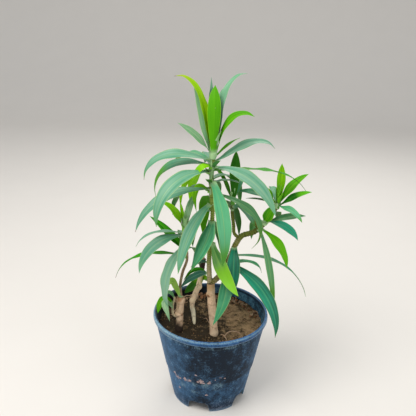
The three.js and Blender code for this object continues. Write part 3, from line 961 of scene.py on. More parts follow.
# Small leaves whose whole run shows: look, width, way that the face turns, places in mm from the pot's axis
PLACED_LEAVES = (
    ("shaded", 15, (0, -0.8, 0.6), (
        (-9, -31, 310), (-20, -30, 309), (-32, -26, 302), (-50, -22, 287), (-65, -20, 268),
    )),
    ("dark_green", 9, (0, -0.8, 0.6), ((-8, -23, 305), (-25, -10, 308), (-43, -5, 300), (-60, -5, 277))),
    ("mossy", 21, (0, -0.8, 0.6), (
        (-9, -23, 290), (-14, -3, 283), (-22, 18, 268), (-38, 28, 250), (-50, 31, 237), (-59, 32, 226),
    )),
    ("shaded", 8, (0, -0.8, 0.6), (
        (-9, -31, 335), (-18, -30, 337), (-27, -28, 334), (-36, -27, 328), (-43, -25, 320),
    )),
    ("pale_lime", 15, (-0.3, -1, 0), (
        (-65, -26, 252), (-70, -23, 262), (-75, -22, 273), (-81, -21, 286), (-87, -22, 283), (-95, -24, 265),
    )),
    ("pale_grey", 15, (-0.3, -0.9, 0.1), (
        (-81, -34, 232), (-88, -37, 240), (-95, -40, 243), (-94, -43, 233), (-90, -45, 221), (-85, -48, 203),
    )),
    ("bright_green", 15, (-0.3, -0.9, 0.1), (
        (-80, -31, 238), (-90, -31, 246), (-100, -30, 246), (-108, -27, 232), (-111, -26, 220),
        (-113, -25, 207),
    )),
    ("soft_green", 8, (-0.2, -0.7, 0.7), ((-77, -29, 249), (-84, -15, 251), (-92, -5, 249), (-99, 0, 244))),
    ("lime", 13, (-0.4, -0.9, 0.2), (
        (-12, -28, 490), (-21, -26, 496), (-31, -24, 494), (-36, -23, 482), (-37, -23, 468), (-33, -23, 441),
    )),
    ("lime", 14, (-0.2, -0.8, 0.6), (
        (-9, -32, 539), (-18, -40, 542), (-26, -42, 538), (-33, -38, 528), (-38, -32, 516), (-42, -28, 503),
    )),
    ("bright_green", 22, (-0.1, -0.9, 0.4), (
        (107, -1, 417), (110, -7, 428), (115, -10, 442), (122, -9, 456),
    )),
    ("green_tipped", 17, (0.1, -0.8, 0.6), (
        (41, 5, 442), (53, 0, 451), (66, -2, 442), (77, -3, 425), (87, -4, 406),
    )),
)
PLACED_TURNS = {"mossy": 0.4, "green_tipped": 0.75}


def heart_lines(name, line, count):
    """Rolled young leaves round the axis of a heart, the innermost the most upright."""
    draw = random.Random(name)
    (foot, radius), (tip, _) = line[0], line[-1]
    tall = (tip - foot).length / MM
    axis = (tip - foot).normalized()
    lines = []
    for k in range(count):
        inner = k / (count - 1)
        azimuth = draw.uniform(0, 360) + GOLDEN_ANGLE * k
        length = tall * (0.62 + 0.36 * inner) * draw.uniform(0.92, 1.02)
        width = (7 + 5 * (1 - inner)) * draw.uniform(0.85, 1.1)
        seat = (foot + axis * (4 * MM * inner), axis, radius * (0.75 - 0.6 * inner))
        rise = 80 + 7 * inner
        slopes = (rise, rise - 10 * (1 - inner))
        ribbon = grown_ribbon(f"{name}_{k}", seat, azimuth, slopes, (length, width))
        lines.append(blade_line(ribbon, HEART_STEPS, fold=HEART_FOLD))
    return lines


# Stems

# Twigs and roots, as x, y, height and radius in mm from the pot's axis
LEFT_TWIG = ((-71, -32, 205, 2.6), (-79, -33, 211, 2.7), (-80, -32, 228, 2.2), (-76, -31, 252, 1.6))
CANE_KNOBS = (
    ((1, -34, 261, 4.4), (-4.4, -40, 263.2, 4.2), (-5.8, -41.8, 263.8, 2.4)),
    ((-60, -30, 211, 4), (-66, -32.6, 210, 3.8), (-68.5, -33.6, 209.5, 2.2)),
)
DRY_TWIGS = (
    ((-61, -24, 245, 0.9), (-52, -22, 251, 0.8), (-43, -20, 250, 0.5)),
    ((-20, 9, 318, 1.6), (-17, 9, 328, 1.3), (-19, 9, 336, 0.6)),
    ((24, -47, 174, 1.2), (30, -57, 178, 1.1), (36, -65, 174, 0.7)),
    ((31, -54, 172, 0.9), (38, -51, 182, 1.1), (50, -50, 185, 1.1), (62, -51, 182, 1.0), (71, -55, 173, 0.7)),
    ((-14, 14, 173, 0.8), (-9, 8, 178, 0.8), (-3, 0, 172, 0.5)),
    ((-88, 20, 176, 0.9), (-70, 30, 196, 0.9), (-52, 34, 203, 0.5)),
    ((96, 42, 176, 0.8), (104, 30, 186, 0.8), (108, 18, 178, 0.5)),
)

# Old canes: kind of cut end; flare at the foot, as a share and a length; patches, each as the heights between
# which it comes in and its colour; knots, each as a height, a way and a size. Lengths are in mm.
CANES = {
    "main_cane": (
        "cut", (-0.04, 6), ((194, 172, (216, 190, 158)), (260, 286, (188, 152, 110))),
        ((263, (-0.9, -0.7, 0), 1.2), (214, (0.9, -0.3, 0), 0.8)),
    ),
    "left_stub": (
        "cut", (-0.2, 6), ((200, 184, (46, 34, 26)), (238, 250, (176, 124, 84))),
        ((210, (-0.9, -0.5, 0), 2.4), (239, (0.9, -0.2, 0), 1.4)),
    ),
    "back_left_cane": (
        "dead", (-0.85, 22),
        # Its first patch is painted light: it pales the cane from 220 mm up, where leaves shade it
        ((200, 220, (255, 228, 190)), (222, 200, (255, 244, 210)), (290, 304, (50, 39, 32))),
        ((224, (-1, 0, 0), 1.6), (258, (1, -0.2, 0), 1.6), (288, (-1, -0.3, 0), 2.0)),
    ),
}
# Younger stems: the limb that each grows from, the height of its rings in mm and its kind of bark
SHOOTS = {
    "main_stem": ("main_cane", 0.75, "main"), "right_bough": ("main_cane", 1.0, "bough"),
    "back_shoot": ("right_bough", 0.5, "bough"), "second_shoot": ("right_bough", 0.4, "bough"),
    "left_shoot": ("left_stub", 0.35, "brown"),
}


def rooted(line, parent):
    """A limb's line carried back to the middle of the limb that it grows from."""
    first, radius = line[0]
    return [(seat_near(first, [parent])[0], radius)] + line


def twig_line(places):
    """(centre, radius) of each of a twig's places."""
    return [(AXIS + Vector((x, y, z)) * MM, radius * MM) for x, y, z, radius in places]


def stem_line(line, flare=(0, 6), knots=()):
    """The points of one limb at close steps."""
    centres = [centre for centre, _ in line]
    length = sum((q - p).length for p, q in zip(centres, centres[1:]))
    count = max(int(length / LIMB_STEP), 8)
    last = len(line) - 1
    points = []
    reach = 0
    for k in range(count + 1):
        place = k / count * last
        low = min(int(place), last - 1)
        radius = line[low][1] + (line[low + 1][1] - line[low][1]) * (place - low)
        centre = smooth_line(centres, place)
        if k:
            reach += (centre - points[-1][0]).length
        radius *= 1 + flare[0] * math.exp(-reach / (flare[1] * MM))
        for z, way, swell in knots:
            bump = swell * MM * math.exp(-(((centre.z - z * MM) / KNOT_REACH) ** 2))
            radius += bump / 2
            centre = centre + Vector(way) * bump
        ahead = smooth_line(centres, min(place + 0.05, last)) - smooth_line(centres, max(place - 0.05, 0))
        face = square_to(Vector((0, -1, 0.1)), ahead.normalized())
        points.append((centre, face, {"girth": radius, "reach": reach}))
    return points


def stem_growth():
    """Sweeps a round section along each line, with the ridges of leaf scars, lumps and cracks."""
    board = Growth(
        "Ringed limbs", count="Sides", number="Spacing, Ridge, Lump, Crack, Seed", finish="Finish"
    )
    spot = board.shape("InputPosition")
    marked = board.store(board.lines(), "axis_place", spot, "FLOAT_VECTOR")
    swept = board.swept(marked, board.circle(board.input("Sides")), board.named("girth"))
    centre = board.named("axis_place", "FLOAT_VECTOR")
    outward = board.along("NORMALIZE", board.along("SUBTRACT", spot, centre))
    x, y, _ = board.parts(outward)
    reach = board.named("reach")
    seed = board.input("Seed")
    run = reach / board.input("Spacing")
    drift = board.noise(board.vector(run * 0.45, seed, 0.0), 1.0, 1.0)
    lean = board.noise(board.vector(x * 0.7, y * 0.7, run * 0.3 + seed), 1.0, 1.0)
    ring = board.sum("FRACT", run + drift * 1.2 + lean * 1.1)
    ridge = board.sum("MAXIMUM", (1 - ring) ** 7.0, ring ** 16.0)
    lumps = board.noise(board.vector(x, y, reach * 70.0 + seed), 1.3, 2.0) - 0.5
    grain = board.noise(board.vector(x * 5.0, y * 5.0, reach * 35.0 + seed), 1.0, 3.0)
    cracks = board.between(grain, 0.42, 0.3)
    relief = board.input("Ridge") * ridge + board.input("Lump") * lumps * 2.0
    relief = relief - board.input("Crack") * cracks
    shaped = board.store(board.pushed(swept, outward, relief), "scar", ridge)
    return board.finish(board.store(shaped, "crack", cracks))


def bark_finish(name, skin, dark, rings=0.8, patches=()):
    """Bark with darker scars and cracks, and patches of other colours."""

    def paint(board):
        scar, crack = board.attribute("scar"), board.attribute("crack")
        place = board.place()
        z = board.parts(place)[2]
        fine = board.noise(place, 420.0, 3.0)
        broad = board.noise(place, 60.0, 2.0)
        streaks = board.noise(board.along("MULTIPLY", place, (1.0, 1.0, 0.14)), 640.0, 3.0)
        bark = board.mix(board.between(streaks * 0.6 + fine * 0.4, 0.38, 0.72) * 0.45, skin, dark)
        bark = board.mix(board.between(broad, 0.6, 0.35) * 0.35, bark, tone(204, 182, 154))
        for low, high, colour in patches:
            amount = board.between(z + (broad - 0.5) * 0.03, low * MM, high * MM)
            bark = board.mix(amount, bark, tone(*colour))
        bark = board.mix(board.between(scar, 0.3, 0.8) * rings, bark, dark)
        bark = board.mix(crack * 0.7, bark, dark)
        return dict(
            Base_Color=bark, Roughness=0.72 + fine * 0.2, Specular_IOR_Level=0.25,
            Normal=board.bump(fine + streaks * 0.5 - crack * 0.6, 0.5 * MM, 0.6),
        )

    return new_finish(name, paint)


def cut_end(name, centre, along, radius, finish, seed):
    """The flat, slightly cracked face of a cut cane."""
    side = along.orthogonal().normalized()
    other = along.cross(side)
    columns, rings = 28, 7
    points = []
    for r in range(rings + 1):
        out = radius * (0.98 if r == rings else 0.15 + 0.8 * r / (rings - 1))
        for c in range(columns):
            turn = math.tau * c / columns
            way = side * math.cos(turn) + other * math.sin(turn)
            rough = noise.noise(way * 2.4 + Vector((r * 0.7, seed, 0))) * 0.5 * MM
            lift = -0.6 * MM if r == rings else 0.5 * MM + rough - 0.25 * MM * r / rings
            points.append(centre + way * out + along * lift)
    tip = len(points)
    points.append(centre + along * (0.1 * MM))
    faces = ring_faces(rings + 1, columns) + fan_faces(tip, 0, columns)
    faces.append(cap_face(rings * columns, columns))
    piece = new_piece(name, points, faces, finish)
    marks = [held((k // columns - rings + 3) / 2) for k in range(tip)] + [0.6]
    give(piece.data, "crack", marks)
    return piece


# Pot


def notch_height(across):
    """How high the gap between two feet reaches at a distance from its middle."""
    across = abs(across)
    if across >= NOTCH_FOOT:
        return 0.0
    if across >= NOTCH_HEAD:
        return NOTCH_SHOULDER * (NOTCH_FOOT - across) / (NOTCH_FOOT - NOTCH_HEAD)
    if across >= NOTCH_FLAT:
        bend = (NOTCH_HEAD - across) / (NOTCH_HEAD - NOTCH_FLAT)
        return NOTCH_SHOULDER + (NOTCH_HEIGHT - NOTCH_SHOULDER) * math.sin(math.pi / 2 * bend)
    return NOTCH_HEIGHT


def pot_columns():
    """(turn in radians, height of the gap there) round the foot."""
    marks = [25.6, 25, 24.3, 23.5, 22.6, 21.8, 21, 20, 18.6, 17, 15.4, 14, 11, 7.5, 4]
    shares = [-m for m in marks] + [0] + marks[::-1]
    columns = []
    between = 360 / NOTCHES
    reach = math.degrees(marks[0] * MM / FOOT_RADIUS)
    foot = between - 2 * reach
    foot_steps = 14
    for k in range(NOTCHES):
        middle = NOTCH_AZIMUTH + between * k
        for mark in shares:
            turn = math.radians(middle) + mark * MM / FOOT_RADIUS
            rough = noise.noise(Vector((mark * 0.35, k * 3.1, 0.5))) * 0.9 * MM
            height = notch_height(mark * MM)
            columns.append((turn, max(height + rough, 0) if height > MM else 0.0))
        for j in range(1, foot_steps):
            columns.append((math.radians(middle + reach + foot * j / foot_steps), 0.0))
    return columns


def wall_radius(z):
    """Outside radius of the pot's wall at a height."""
    slope = (NECK_RADIUS - FOOT_RADIUS - LEDGE_STEP) / NECK_HEIGHT
    return FOOT_RADIUS + slope * z + LEDGE_STEP * held((z - LEDGE_HEIGHT) / LEDGE_STEP)


def heights(start, end, step):
    """Heights from a start to just short of an end."""
    found = [start]
    while (end - found[-1]) * step > 0:
        found.append(found[-1] + step)
    return found[:-1]


def pot_rows():
    """(radius, height, share of the gap's height that it follows) from the foot over the rim and back."""
    edge = 0.5 * MM
    rim_middle = POT_HIGH.z - RIM_HALF_HEIGHT
    rim_radius = (POT_HIGH.x - POT_LOW.x) / 2 - RIM_HALF_WIDTH
    neck = rim_middle - RIM_HALF_HEIGHT - 0.6 * MM
    low = wall_radius(0)
    shares = (0.35, 0.7, 1.0)
    rise = [(wall_radius(RAISED_FLOOR * share), RAISED_FLOOR * share, 1.0 - share) for share in shares]
    rows = [(low - edge, 0.0, 1.0), (low, edge, 1.0), (low, 4 * edge, 0.93)] + rise
    wall = heights(RAISED_FLOOR + WALL_STEP, LEDGE_HEIGHT - MM, WALL_STEP)
    wall += [LEDGE_HEIGHT + LEDGE_STEP * share for share in (-0.3, 0.0, 0.3, 0.7, 1.0, 1.4)]
    wall += heights(LEDGE_HEIGHT + 9 * MM, NECK_HEIGHT - 4 * MM, WALL_STEP)
    rows += [(wall_radius(z), z, 0.0) for z in wall]
    rows += [(NECK_RADIUS - 1.2 * MM, neck - 1.5 * MM, 0.0), (NECK_RADIUS - 0.9 * MM, neck, 0.0)]
    for degrees in range(-80, 181, 20):
        angle = math.radians(degrees)
        out, up = RIM_HALF_WIDTH * math.cos(angle), RIM_HALF_HEIGHT * math.sin(angle)
        rows.append((rim_radius + out, rim_middle + up, 0.0))
    for z in heights(rim_middle - 5 * MM, RAISED_FLOOR, -WALL_STEP - MM):
        rows.append((wall_radius(min(z, NECK_HEIGHT)) - POT_WALL, z, 0.0))
    rows += [(radius - POT_WALL, z, follows) for radius, z, follows in reversed(rise)]
    return rows + [(low - POT_WALL, edge, 1.0), (low - POT_WALL + edge, 0.0, 1.0)]


def pot_wall(settings, finish):
    """The wall as a mesh, which knows where it is inside and where its lower edge is worn."""
    columns = pot_columns()
    rows = pot_rows()
    top = max(range(len(rows)), key=lambda r: rows[r][1])
    points = []
    for radius, z, follows in rows:
        for turn, gap in columns:
            high = z + gap * follows
            grown = radius + (wall_radius(high) - wall_radius(z)) * (follows > 0)
            bulge = noise.noise(way_round(turn, 2.2, high * 9)) * settings.unevenness
            bulge *= min(1, high / (40 * MM)) * held((POT_HIGH.z - high) / (20 * MM))
            points.append(AXIS + way_round(turn, grown + bulge, high))
    faces = ring_faces(len(rows), len(columns))
    first, last = 0, (len(rows) - 1) * len(columns)
    for c in range(len(columns)):
        d = (c + 1) % len(columns)
        faces.append((last + c, last + d, first + d, first + c))
    piece = new_piece("pot_wall", points, faces, finish)
    worn = [1.0, 1.0, 0.7] + [0.0] * len(rows)
    give(piece.data, "inside", [float(r > top + 4) for r in range(len(rows)) for _ in columns])
    give(piece.data, "worn_edge", [worn[r] for r in range(len(rows)) for _ in columns])
    return piece


def floor_growth():
    """A round plate with drain holes on a circle."""
    board = Growth(
        "Drained floor", number="Radius, Thickness, Hole radius, Hole place, Turn", count="Holes",
        finish="Finish",
    )
    ring = board.circle(board.input("Holes"), board.input("Hole place"))
    turn = board.vector(0.0, 0.0, board.input("Turn"))
    ring = board.shape("Transform", Geometry=ring, Rotation=turn)
    hole = board.circle(24, board.input("Hole radius"))
    holes = board.shape("InstanceOnPoints", Points=ring, Instance=hole)
    holes = board.shape("RealizeInstances", Geometry=holes)
    outlines = board.shape("JoinGeometry", Geometry=[board.circle(120, board.input("Radius")), holes])
    plate = board.shape("FillCurve", mode="TRIANGLES", Curve=outlines)
    walls = board.shape(
        "ExtrudeMesh", mode="FACES", Mesh=plate, Offset=(0.0, 0.0, 1.0), Individual=False,
        Offset_Scale=board.input("Thickness"),
    )
    whole = board.shape("JoinGeometry", Geometry=[walls, board.shape("FlipFaces", Mesh=plate)])
    merged = board.shape("MergeByDistance", Geometry=whole, Distance=0.01 * MM)
    return board.finish(merged, smooth=False)


def pot_finish(settings):
    """Weathered blue plastic: sun-paled patches, fine scratches, chips along the step and mud at the foot,
    with painted reflection on its sides and rim, painted highlights on the rim, and painted shade in the
    middle of its front, in the rim's lines and inside.
    """

    def paint(board):
        place = board.place()
        x, y, z = board.parts(place)
        inside, edge = board.attribute("inside"), board.attribute("worn_edge")
        round_wall = board.sum("ARCTAN2", x, y * -1.0) * 0.1
        broad = board.noise(place, 16.0, 3.0, 0.55)
        cloudy = board.noise(place, 62.0, 5.0, 0.65)
        fine = board.noise(place, 330.0, 3.0, 0.6)
        around = board.sum("ARCTAN2", x - AXIS.x, (y - AXIS.y) * -1.0)

        def patchy(share, low, high):
            """Where the fine pattern, with this share of the cloudy one in it, is high."""
            return board.between(cloudy * share + fine * (1 - share), low, high)

        def scratches(slope, seed):
            """Long fine lines that lean by a slope on the wall."""
            along = round_wall + z * slope
            over = z - round_wall * slope
            lines = board.noise(board.vector(along * 26.0, over * 560.0, seed), 1.0, 2.0, 0.6)
            return board.between(lines, 0.66, 0.74)

        def marked(places, ragged):
            """Where spots of the wall lie, each with a ragged outline."""
            spots = 0.0
            for degrees, height, size in places:
                aside = (around - math.radians(degrees)) * wall_radius(height * MM)
                gap = board.length(aside, z - height * MM) / (size * MM) + ragged
                spots = board.sum("MAXIMUM", spots, board.between(gap, 1.0, 0.7))
            return spots * (1 - inside)

        low = board.between(z, LEDGE_HEIGHT + 6 * MM, LEDGE_HEIGHT - 10 * MM)
        band = board.near(z, *SCUFFED_BAND)
        # Painted shade: the middle of the front takes fewer scratches and less chalk, so it stays darker
        middle = board.near(x, *SHADED_MIDDLE) * (1 - low * 0.6)
        mottle = broad * 0.24 + cloudy * 0.4 + fine * 0.36
        # Painted reflection: the sides of the pot take more of the worn blue
        side = board.near(x, *REFLECTION_SIDES)
        foot = board.between(z, 0.05, 0.02)
        # Worn blue comes in with real wear low down and in patches, and with the painted reflection on the
        # sides
        worn = 0.02 + side * 0.58 + low * 0.24 + band * 0.08 - foot * 0.12 + (mottle - 0.5) * 3.2
        crossed = board.clamp(scratches(0.7, 2.0) + scratches(-1.1, 5.0) + scratches(0.25, 9.0))
        scratch = crossed * board.between(cloudy, 0.4, 0.58) * (1 - middle * 0.6)
        chalk = board.between(cloudy * 0.6 + fine * 0.5, 0.6, 0.74) * (0.3 + band * 0.3 - middle * 0.15)
        blot = board.between(board.noise(place, 38.0, 4.0, 0.7), 0.56, 0.66) * low
        rim = board.between(z, RIM_START - 0.7 * MM, RIM_START + 0.7 * MM)
        # Painted highlights: pale lines along the rim's crown and lower edge; painted reflection: the rim
        # paled on its left
        crown = board.near(z, *RIM_HIGHLIGHT) + board.near(z, *RIM_LIP_HIGHLIGHT)
        rim_left_reflection = board.between(x, -0.02, -0.1) * rim
        # Painted shade: dark lines in the groove under the rim and in the crease of the rim
        groove = board.near(z, *RIM_GROOVE_SHADE) + board.near(z, *RIM_CREASE_SHADE) * 0.5
        radius = board.length(x - AXIS.x, y - AXIS.y)
        # Painted shade: a dark line round the inner edge of the rim's top
        lip = board.between(radius, LIP_RADIUS + 0.5 * MM, LIP_RADIUS - 0.5 * MM)
        lip = lip * board.between(z, 0.196, 0.199)
        ragged = (board.noise(place, 300.0, 2.0, 0.6) - 0.5) * 3.2
        pale = marked(PALE_PATCHES, (fine - 0.5) * 3.0 + (cloudy - 0.5) * 2.0)
        chips = marked(CHIPS, ragged)
        grain = board.between(board.noise(place, 700.0, 2.0), 0.4, 0.6)
        splash = board.between(z, 0.04, -0.01) * patchy(0.6, 0.46, 0.66)
        # Painted light and shade inside the wall: a lit blue on the right, near black on the left
        lit = board.mix(board.between(mottle, 0.4, 0.6), tone(34, 64, 86), tone(92, 144, 172))
        skin = settings.deep
        for amount, colour in (
            (board.clamp(worn), settings.worn),
            (scratch * 0.55, settings.scuff_and_highlight),
            (chalk, settings.scuff_and_highlight),
            (blot * 0.4, settings.deep),
            (board.near(z, *NECK_SCUFF) * patchy(0.6, 0.47, 0.6) * 0.25, settings.scuff_and_highlight),
            (rim * patchy(0.6, 0.3, 0.52), settings.rim),
            (rim * patchy(0.4, 0.54, 0.62) * 0.35, settings.scuff_and_highlight),
            # Painted highlights and reflection on the rim
            (board.clamp(crown * 0.5 + rim_left_reflection * 0.5) * board.between(fine, 0.2, 0.6), settings.scuff_and_highlight),
            # Painted shade in the rim's groove, crease and inner edge
            (board.clamp(groove) * 0.8, settings.deep),
            (lip * 0.8, settings.deep),
            (pale * patchy(0.5, 0.42, 0.58) * 0.45, settings.scuff_and_highlight),
            (chips * 0.85, board.mix(grain, tone(120, 104, 118), settings.fleck)),
            (splash * 0.5, settings.mud),
            (edge * board.between(fine, 0.25, 0.5) * 0.75, tone(130, 156, 180)),
            # Painted shade and light on the inner wall
            (inside * (1 - lip), board.mix(board.between(x, -0.03, 0.06), tone(9, 9, 7), lit)),
        ):
            skin = board.mix(amount, skin, colour)
        return dict(
            Base_Color=skin, Roughness=0.6 + fine * 0.2 + (chalk + splash + chips) * 0.15 - rim * 0.36,
            Specular_IOR_Level=0.22, Sheen_Weight=0.2, Sheen_Roughness=0.25, Sheen_Tint=tone(190, 214, 240),
            Normal=board.bump(cloudy * 0.4 + fine * 0.3 - scratch * 0.25 + chips * 0.3, 0.6 * MM, 0.35),
        )

    return new_finish("weathered_blue_plastic", paint)


# Soil


def soil_height(x, y, relief):
    """Height of the soil at a place from the pot's axis: level, and higher towards the back wall."""
    at = Vector((x, y, 0)) / SOIL_LUMP
    rough = noise.fractal(at, 0.9, 2.1, 5)
    edge = held((math.hypot(x, y) - SOIL_DIP_START) / SOIL_DIP_WIDTH)
    front = SOIL_DIP * edge * held(1 - y / (60 * MM))
    level = SOIL_LEVEL - 1 * MM + max(y - SOIL_SLOPE_START, 0) * SOIL_SLOPE
    return level + relief * rough - front + 1.5 * MM * noise.noise(at * 0.5 + Vector((3, 7, 1)))


def soil_body(settings, finish):
    """A closed body of soil: an uneven top, sides inside the wall, and a flat bottom."""
    columns, rings = 260, 66
    turns = [math.tau * c / columns for c in range(columns)]
    points = [AXIS + Vector((0, 0, soil_height(0, 0, settings.relief)))]
    for r in range(1, rings + 1):
        for turn in turns:
            back = max(math.sin(turn), 0) * (SOIL_HIGH.z - SOIL_LEVEL)
            radius = (wall_radius(SOIL_LEVEL + back) - POT_WALL - 0.3 * MM) * r / rings
            x, y = radius * math.cos(turn), radius * math.sin(turn)
            points.append(AXIS + Vector((x, y, soil_height(x, y, settings.relief))))
    foot = wall_radius(SOIL_LOW.z) - POT_WALL - 0.6 * MM
    points += [AXIS + way_round(turn, foot, SOIL_LOW.z) for turn in turns]
    faces = fan_faces(0, 1, columns)
    faces += [(b, a, d, c) for a, b, c, d in ring_faces(rings + 1, columns, 1)]
    faces.append(cap_face(1 + rings * columns, columns))
    return new_piece("soil_body", points, faces, finish)


def scatter_growth():
    """Lays copies of a small thing on the upward faces of a surface, turned at random, of random size."""
    board = Growth(
        "Loose bits", number="Spacing, Least, Most, Lying, Reach, Patch, Gather", count="Seed",
        object="Thing", finish="Finish",
    )
    upward = board.parts(board.shape("InputNormal"))[2]
    spot = board.along("SUBTRACT", board.shape("InputPosition"), tuple(AXIS))
    x, y, _ = board.parts(spot)
    radius = board.length(x, y)
    reach, patch, gather, seed = map(board.input, ("Reach", "Patch", "Gather", "Seed"))
    chosen = board.sum("GREATER_THAN", upward, 0.6) * board.sum("LESS_THAN", radius, reach)
    share = board.between(board.noise(spot, 28.0, 2.0), patch, patch + 0.12)
    toward = (radius + y * 0.3 + x * 0.1) / reach
    share = share * board.between(toward, gather, gather + 0.2)
    dots = board.shape(
        "DistributePointsOnFaces", distribute_method="POISSON", Mesh=board.input("Geometry"), Seed=seed,
        Selection=chosen, Distance_Min=board.input("Spacing"), Density_Max=60000.0, Density_Factor=share,
    )
    spin = board.add("FunctionNodeRandomValue", data_type="FLOAT_VECTOR", Max=(math.tau,) * 3, Seed=seed)
    lying = board.input("Lying")
    flatter = board.along("MULTIPLY", spin, board.vector(lying, lying, 1.0))
    size = board.add("FunctionNodeRandomValue", data_type="FLOAT", Min=0.0, Max=1.0, Seed=seed)
    size = board.input("Least") + (board.input("Most") - board.input("Least")) * size ** 2.2
    thing = board.shape("ObjectInfo", Object=board.input("Thing")).output("Geometry")
    scale = board.vector(size, size, size)
    copies = board.shape("InstanceOnPoints", Points=dots, Instance=thing, Rotation=flatter, Scale=scale)
    return board.finish(copies)


def clod_mould(seed):
    """A rough lump a unit in radius, with a few dozen faces."""
    columns, rings = 8, 4
    points = [Vector((0, 0, -0.8))]
    for r in range(1, rings):
        tilt = math.pi * r / rings
        for c in range(columns):
            way = way_round(math.tau * (c + 0.5 * (r % 2)) / columns, math.sin(tilt), -math.cos(tilt))
            points.append(way * (0.85 + 0.5 * noise.noise(way * 1.7 + Vector((seed, 0, 0)))))
    points.append(Vector((0, 0, 0.8)))
    faces = [(tip, b, a) for tip, a, b in fan_faces(0, 1, columns)] + ring_faces(rings - 1, columns, 1)
    faces += fan_faces(len(points) - 1, 1 + (rings - 2) * columns, columns)
    return new_piece("clod_mould", points, faces)


def flake_mould():
    """A curled scrap of dead leaf a unit long, closed all round."""
    rows, across = 5, 3
    points = []
    for level in (0.05, -0.05):
        for r in range(rows):
            t = r / (rows - 1)
            half = 0.32 * math.sin(math.pi * (0.15 + 0.75 * t))
            for u in (-1, 0, 1):
                rise = 0.45 * (t - 0.5) ** 2 + 0.3 * u * u * half + level
                points.append(Vector((t - 0.5, u * half, rise)))
    sheet = rows * across
    end = across - 1
    faces = []
    for a in (r * across + c for r in range(rows - 1) for c in range(end)):
        faces.append((a, a + across, a + across + 1, a + 1))
        faces.append((sheet + a, sheet + a + 1, sheet + a + across + 1, sheet + a + across))
    rim = list(range(across)) + [r * across + end for r in range(1, rows)]
    rim += [sheet - 1 - c for c in range(1, across)] + [r * across for r in range(rows - 2, 0, -1)]
    for a, b in zip(rim, rim[1:] + rim[:1]):
        faces.append((a, b, b + sheet, a + sheet))
    return new_piece("flake_mould", points, faces)


def soil_finish(name, settings, dryness):
    """Crumbly soil, paler where it dries and darker where its lumps are low, with painted shade in its pits,
    at its left and at its back, and painted light on its right front.
    """

    def paint(board):
        place = board.place()
        grains = board.noise(place, 700.0, 3.0, 0.6)
        lumps = board.noise(place, 80.0, 3.0, 0.55)
        hollows = board.noise(place, 46.0, 2.0, 0.6)
        crumbs = board.noise(place, 210.0, 1.0)
        patches = board.noise(place, 24.0, 3.0)
        x, y, _ = board.parts(place)
        # Painted light on the right front of the soil and painted shade at its left and back
        painted_sun_and_shade = board.between(x + y * 0.3, -0.03, 0.07) * board.between(y, 0.1, 0.05) * 0.22 - 0.1
        pale = board.between(patches * 0.3 + lumps * 0.55 + grains * 0.3 + dryness + painted_sun_and_shade, 0.5, 0.78)
        soil = settings.moist
        for amount, colour in (
            (pale, settings.dry),
            (board.between(lumps, 0.38, 0.3) * 0.6, tone(22, 18, 12)),
            # Painted shade in the pits
            (board.between(hollows, 0.36, 0.3) * 0.7, tone(20, 16, 11)),
            (board.between(grains, 0.68, 0.76) * 0.3, tone(170, 146, 116)),
            (board.between(crumbs, 0.72, 0.76) * 0.6, tone(168, 112, 70)),
        ):
            soil = board.mix(amount, soil, colour)
        relief = board.bump(grains * 0.5 + lumps + hollows, 0.8 * MM, 0.6)
        return dict(Base_Color=soil, Roughness=0.95, Specular_IOR_Level=0.2, Normal=relief)

    return new_finish(name, paint)


def litter_finish(settings):
    """Dead leaf in two browns, with dark spots."""

    def paint(board):
        dapple = board.noise(board.place(), 300.0, 3.0)
        kinds = board.noise(board.place(), 90.0, 1.0)
        brown = board.mix(board.between(kinds, 0.45, 0.6), settings.litter, tone(176, 148, 118))
        brown = board.mix(board.between(dapple, 0.35, 0.7) * 0.7, brown, tone(84, 60, 42))
        return dict(Base_Color=brown, Roughness=0.8, Normal=board.bump(dapple, 0.3 * MM))

    return new_finish("dead_leaf", paint)


# Stage


def make_floor(settings):
    """A floor that sweeps up far behind into a backdrop."""

    def paint(board):
        speckle = board.noise(board.place(), 6.0, 3.0)
        shade = board.mix(speckle * 0.15, settings.floor, tone(205, 200, 193))
        return dict(Base_Color=shade, Roughness=0.9, Specular_IOR_Level=0.2)

    half_width, near, far, sweep, top = 6.0, -4.0, 3.0, 1.5, 5.0
    profile = [(near, 0.0)]
    for k in range(13):
        angle = math.pi / 2 * k / 12
        profile.append((far + sweep * math.sin(angle), sweep * (1 - math.cos(angle))))
    profile.append((far + sweep, top))
    points = [Vector((side * half_width, y, z)) for y, z in profile for side in (-1, 1)]
    faces = [(2 * k, 2 * k + 1, 2 * k + 3, 2 * k + 2) for k in range(len(profile) - 1)]
    new_piece("floor", points, faces, new_finish("plain_floor", paint))


def make_lights(settings):
    """Three large lamps and an even sky."""
    aim = AXIS + Vector((0, 0, 0.35))
    for name, place, size, power, colour in (
        ("key_light", (-0.9, -0.9, 2.3), 1.3, settings.key_power, (1.0, 0.985, 0.96)),
        ("fill_light", (1.7, -1.3, 1.1), 1.6, settings.fill_power, (0.93, 0.97, 1.0)),
        ("back_light", (0.5, 1.7, 1.9), 1.4, settings.key_power * 0.45, (1.0, 0.99, 0.97)),
    ):
        light = bpy.data.lights.new(name, "AREA")
        light.size = size
        light.energy = power
        light.color = colour
        lamp = linked(name, light)
        lamp.location = place
        lamp.rotation_euler = (aim - Vector(place)).to_track_quat("-Z", "Y").to_euler()
    world = bpy.data.worlds.new("soft_sky")
    world.use_nodes = True
    sky = world.node_tree.nodes["Background"]
    sky.inputs["Color"].default_value = (0.93, 0.96, 1.0, 1.0)
    sky.inputs["Strength"].default_value = settings.sky
    bpy.context.scene.world = world
    bpy.context.scene.view_settings.view_transform = "Standard"
    bpy.context.scene.view_settings.look = "None"


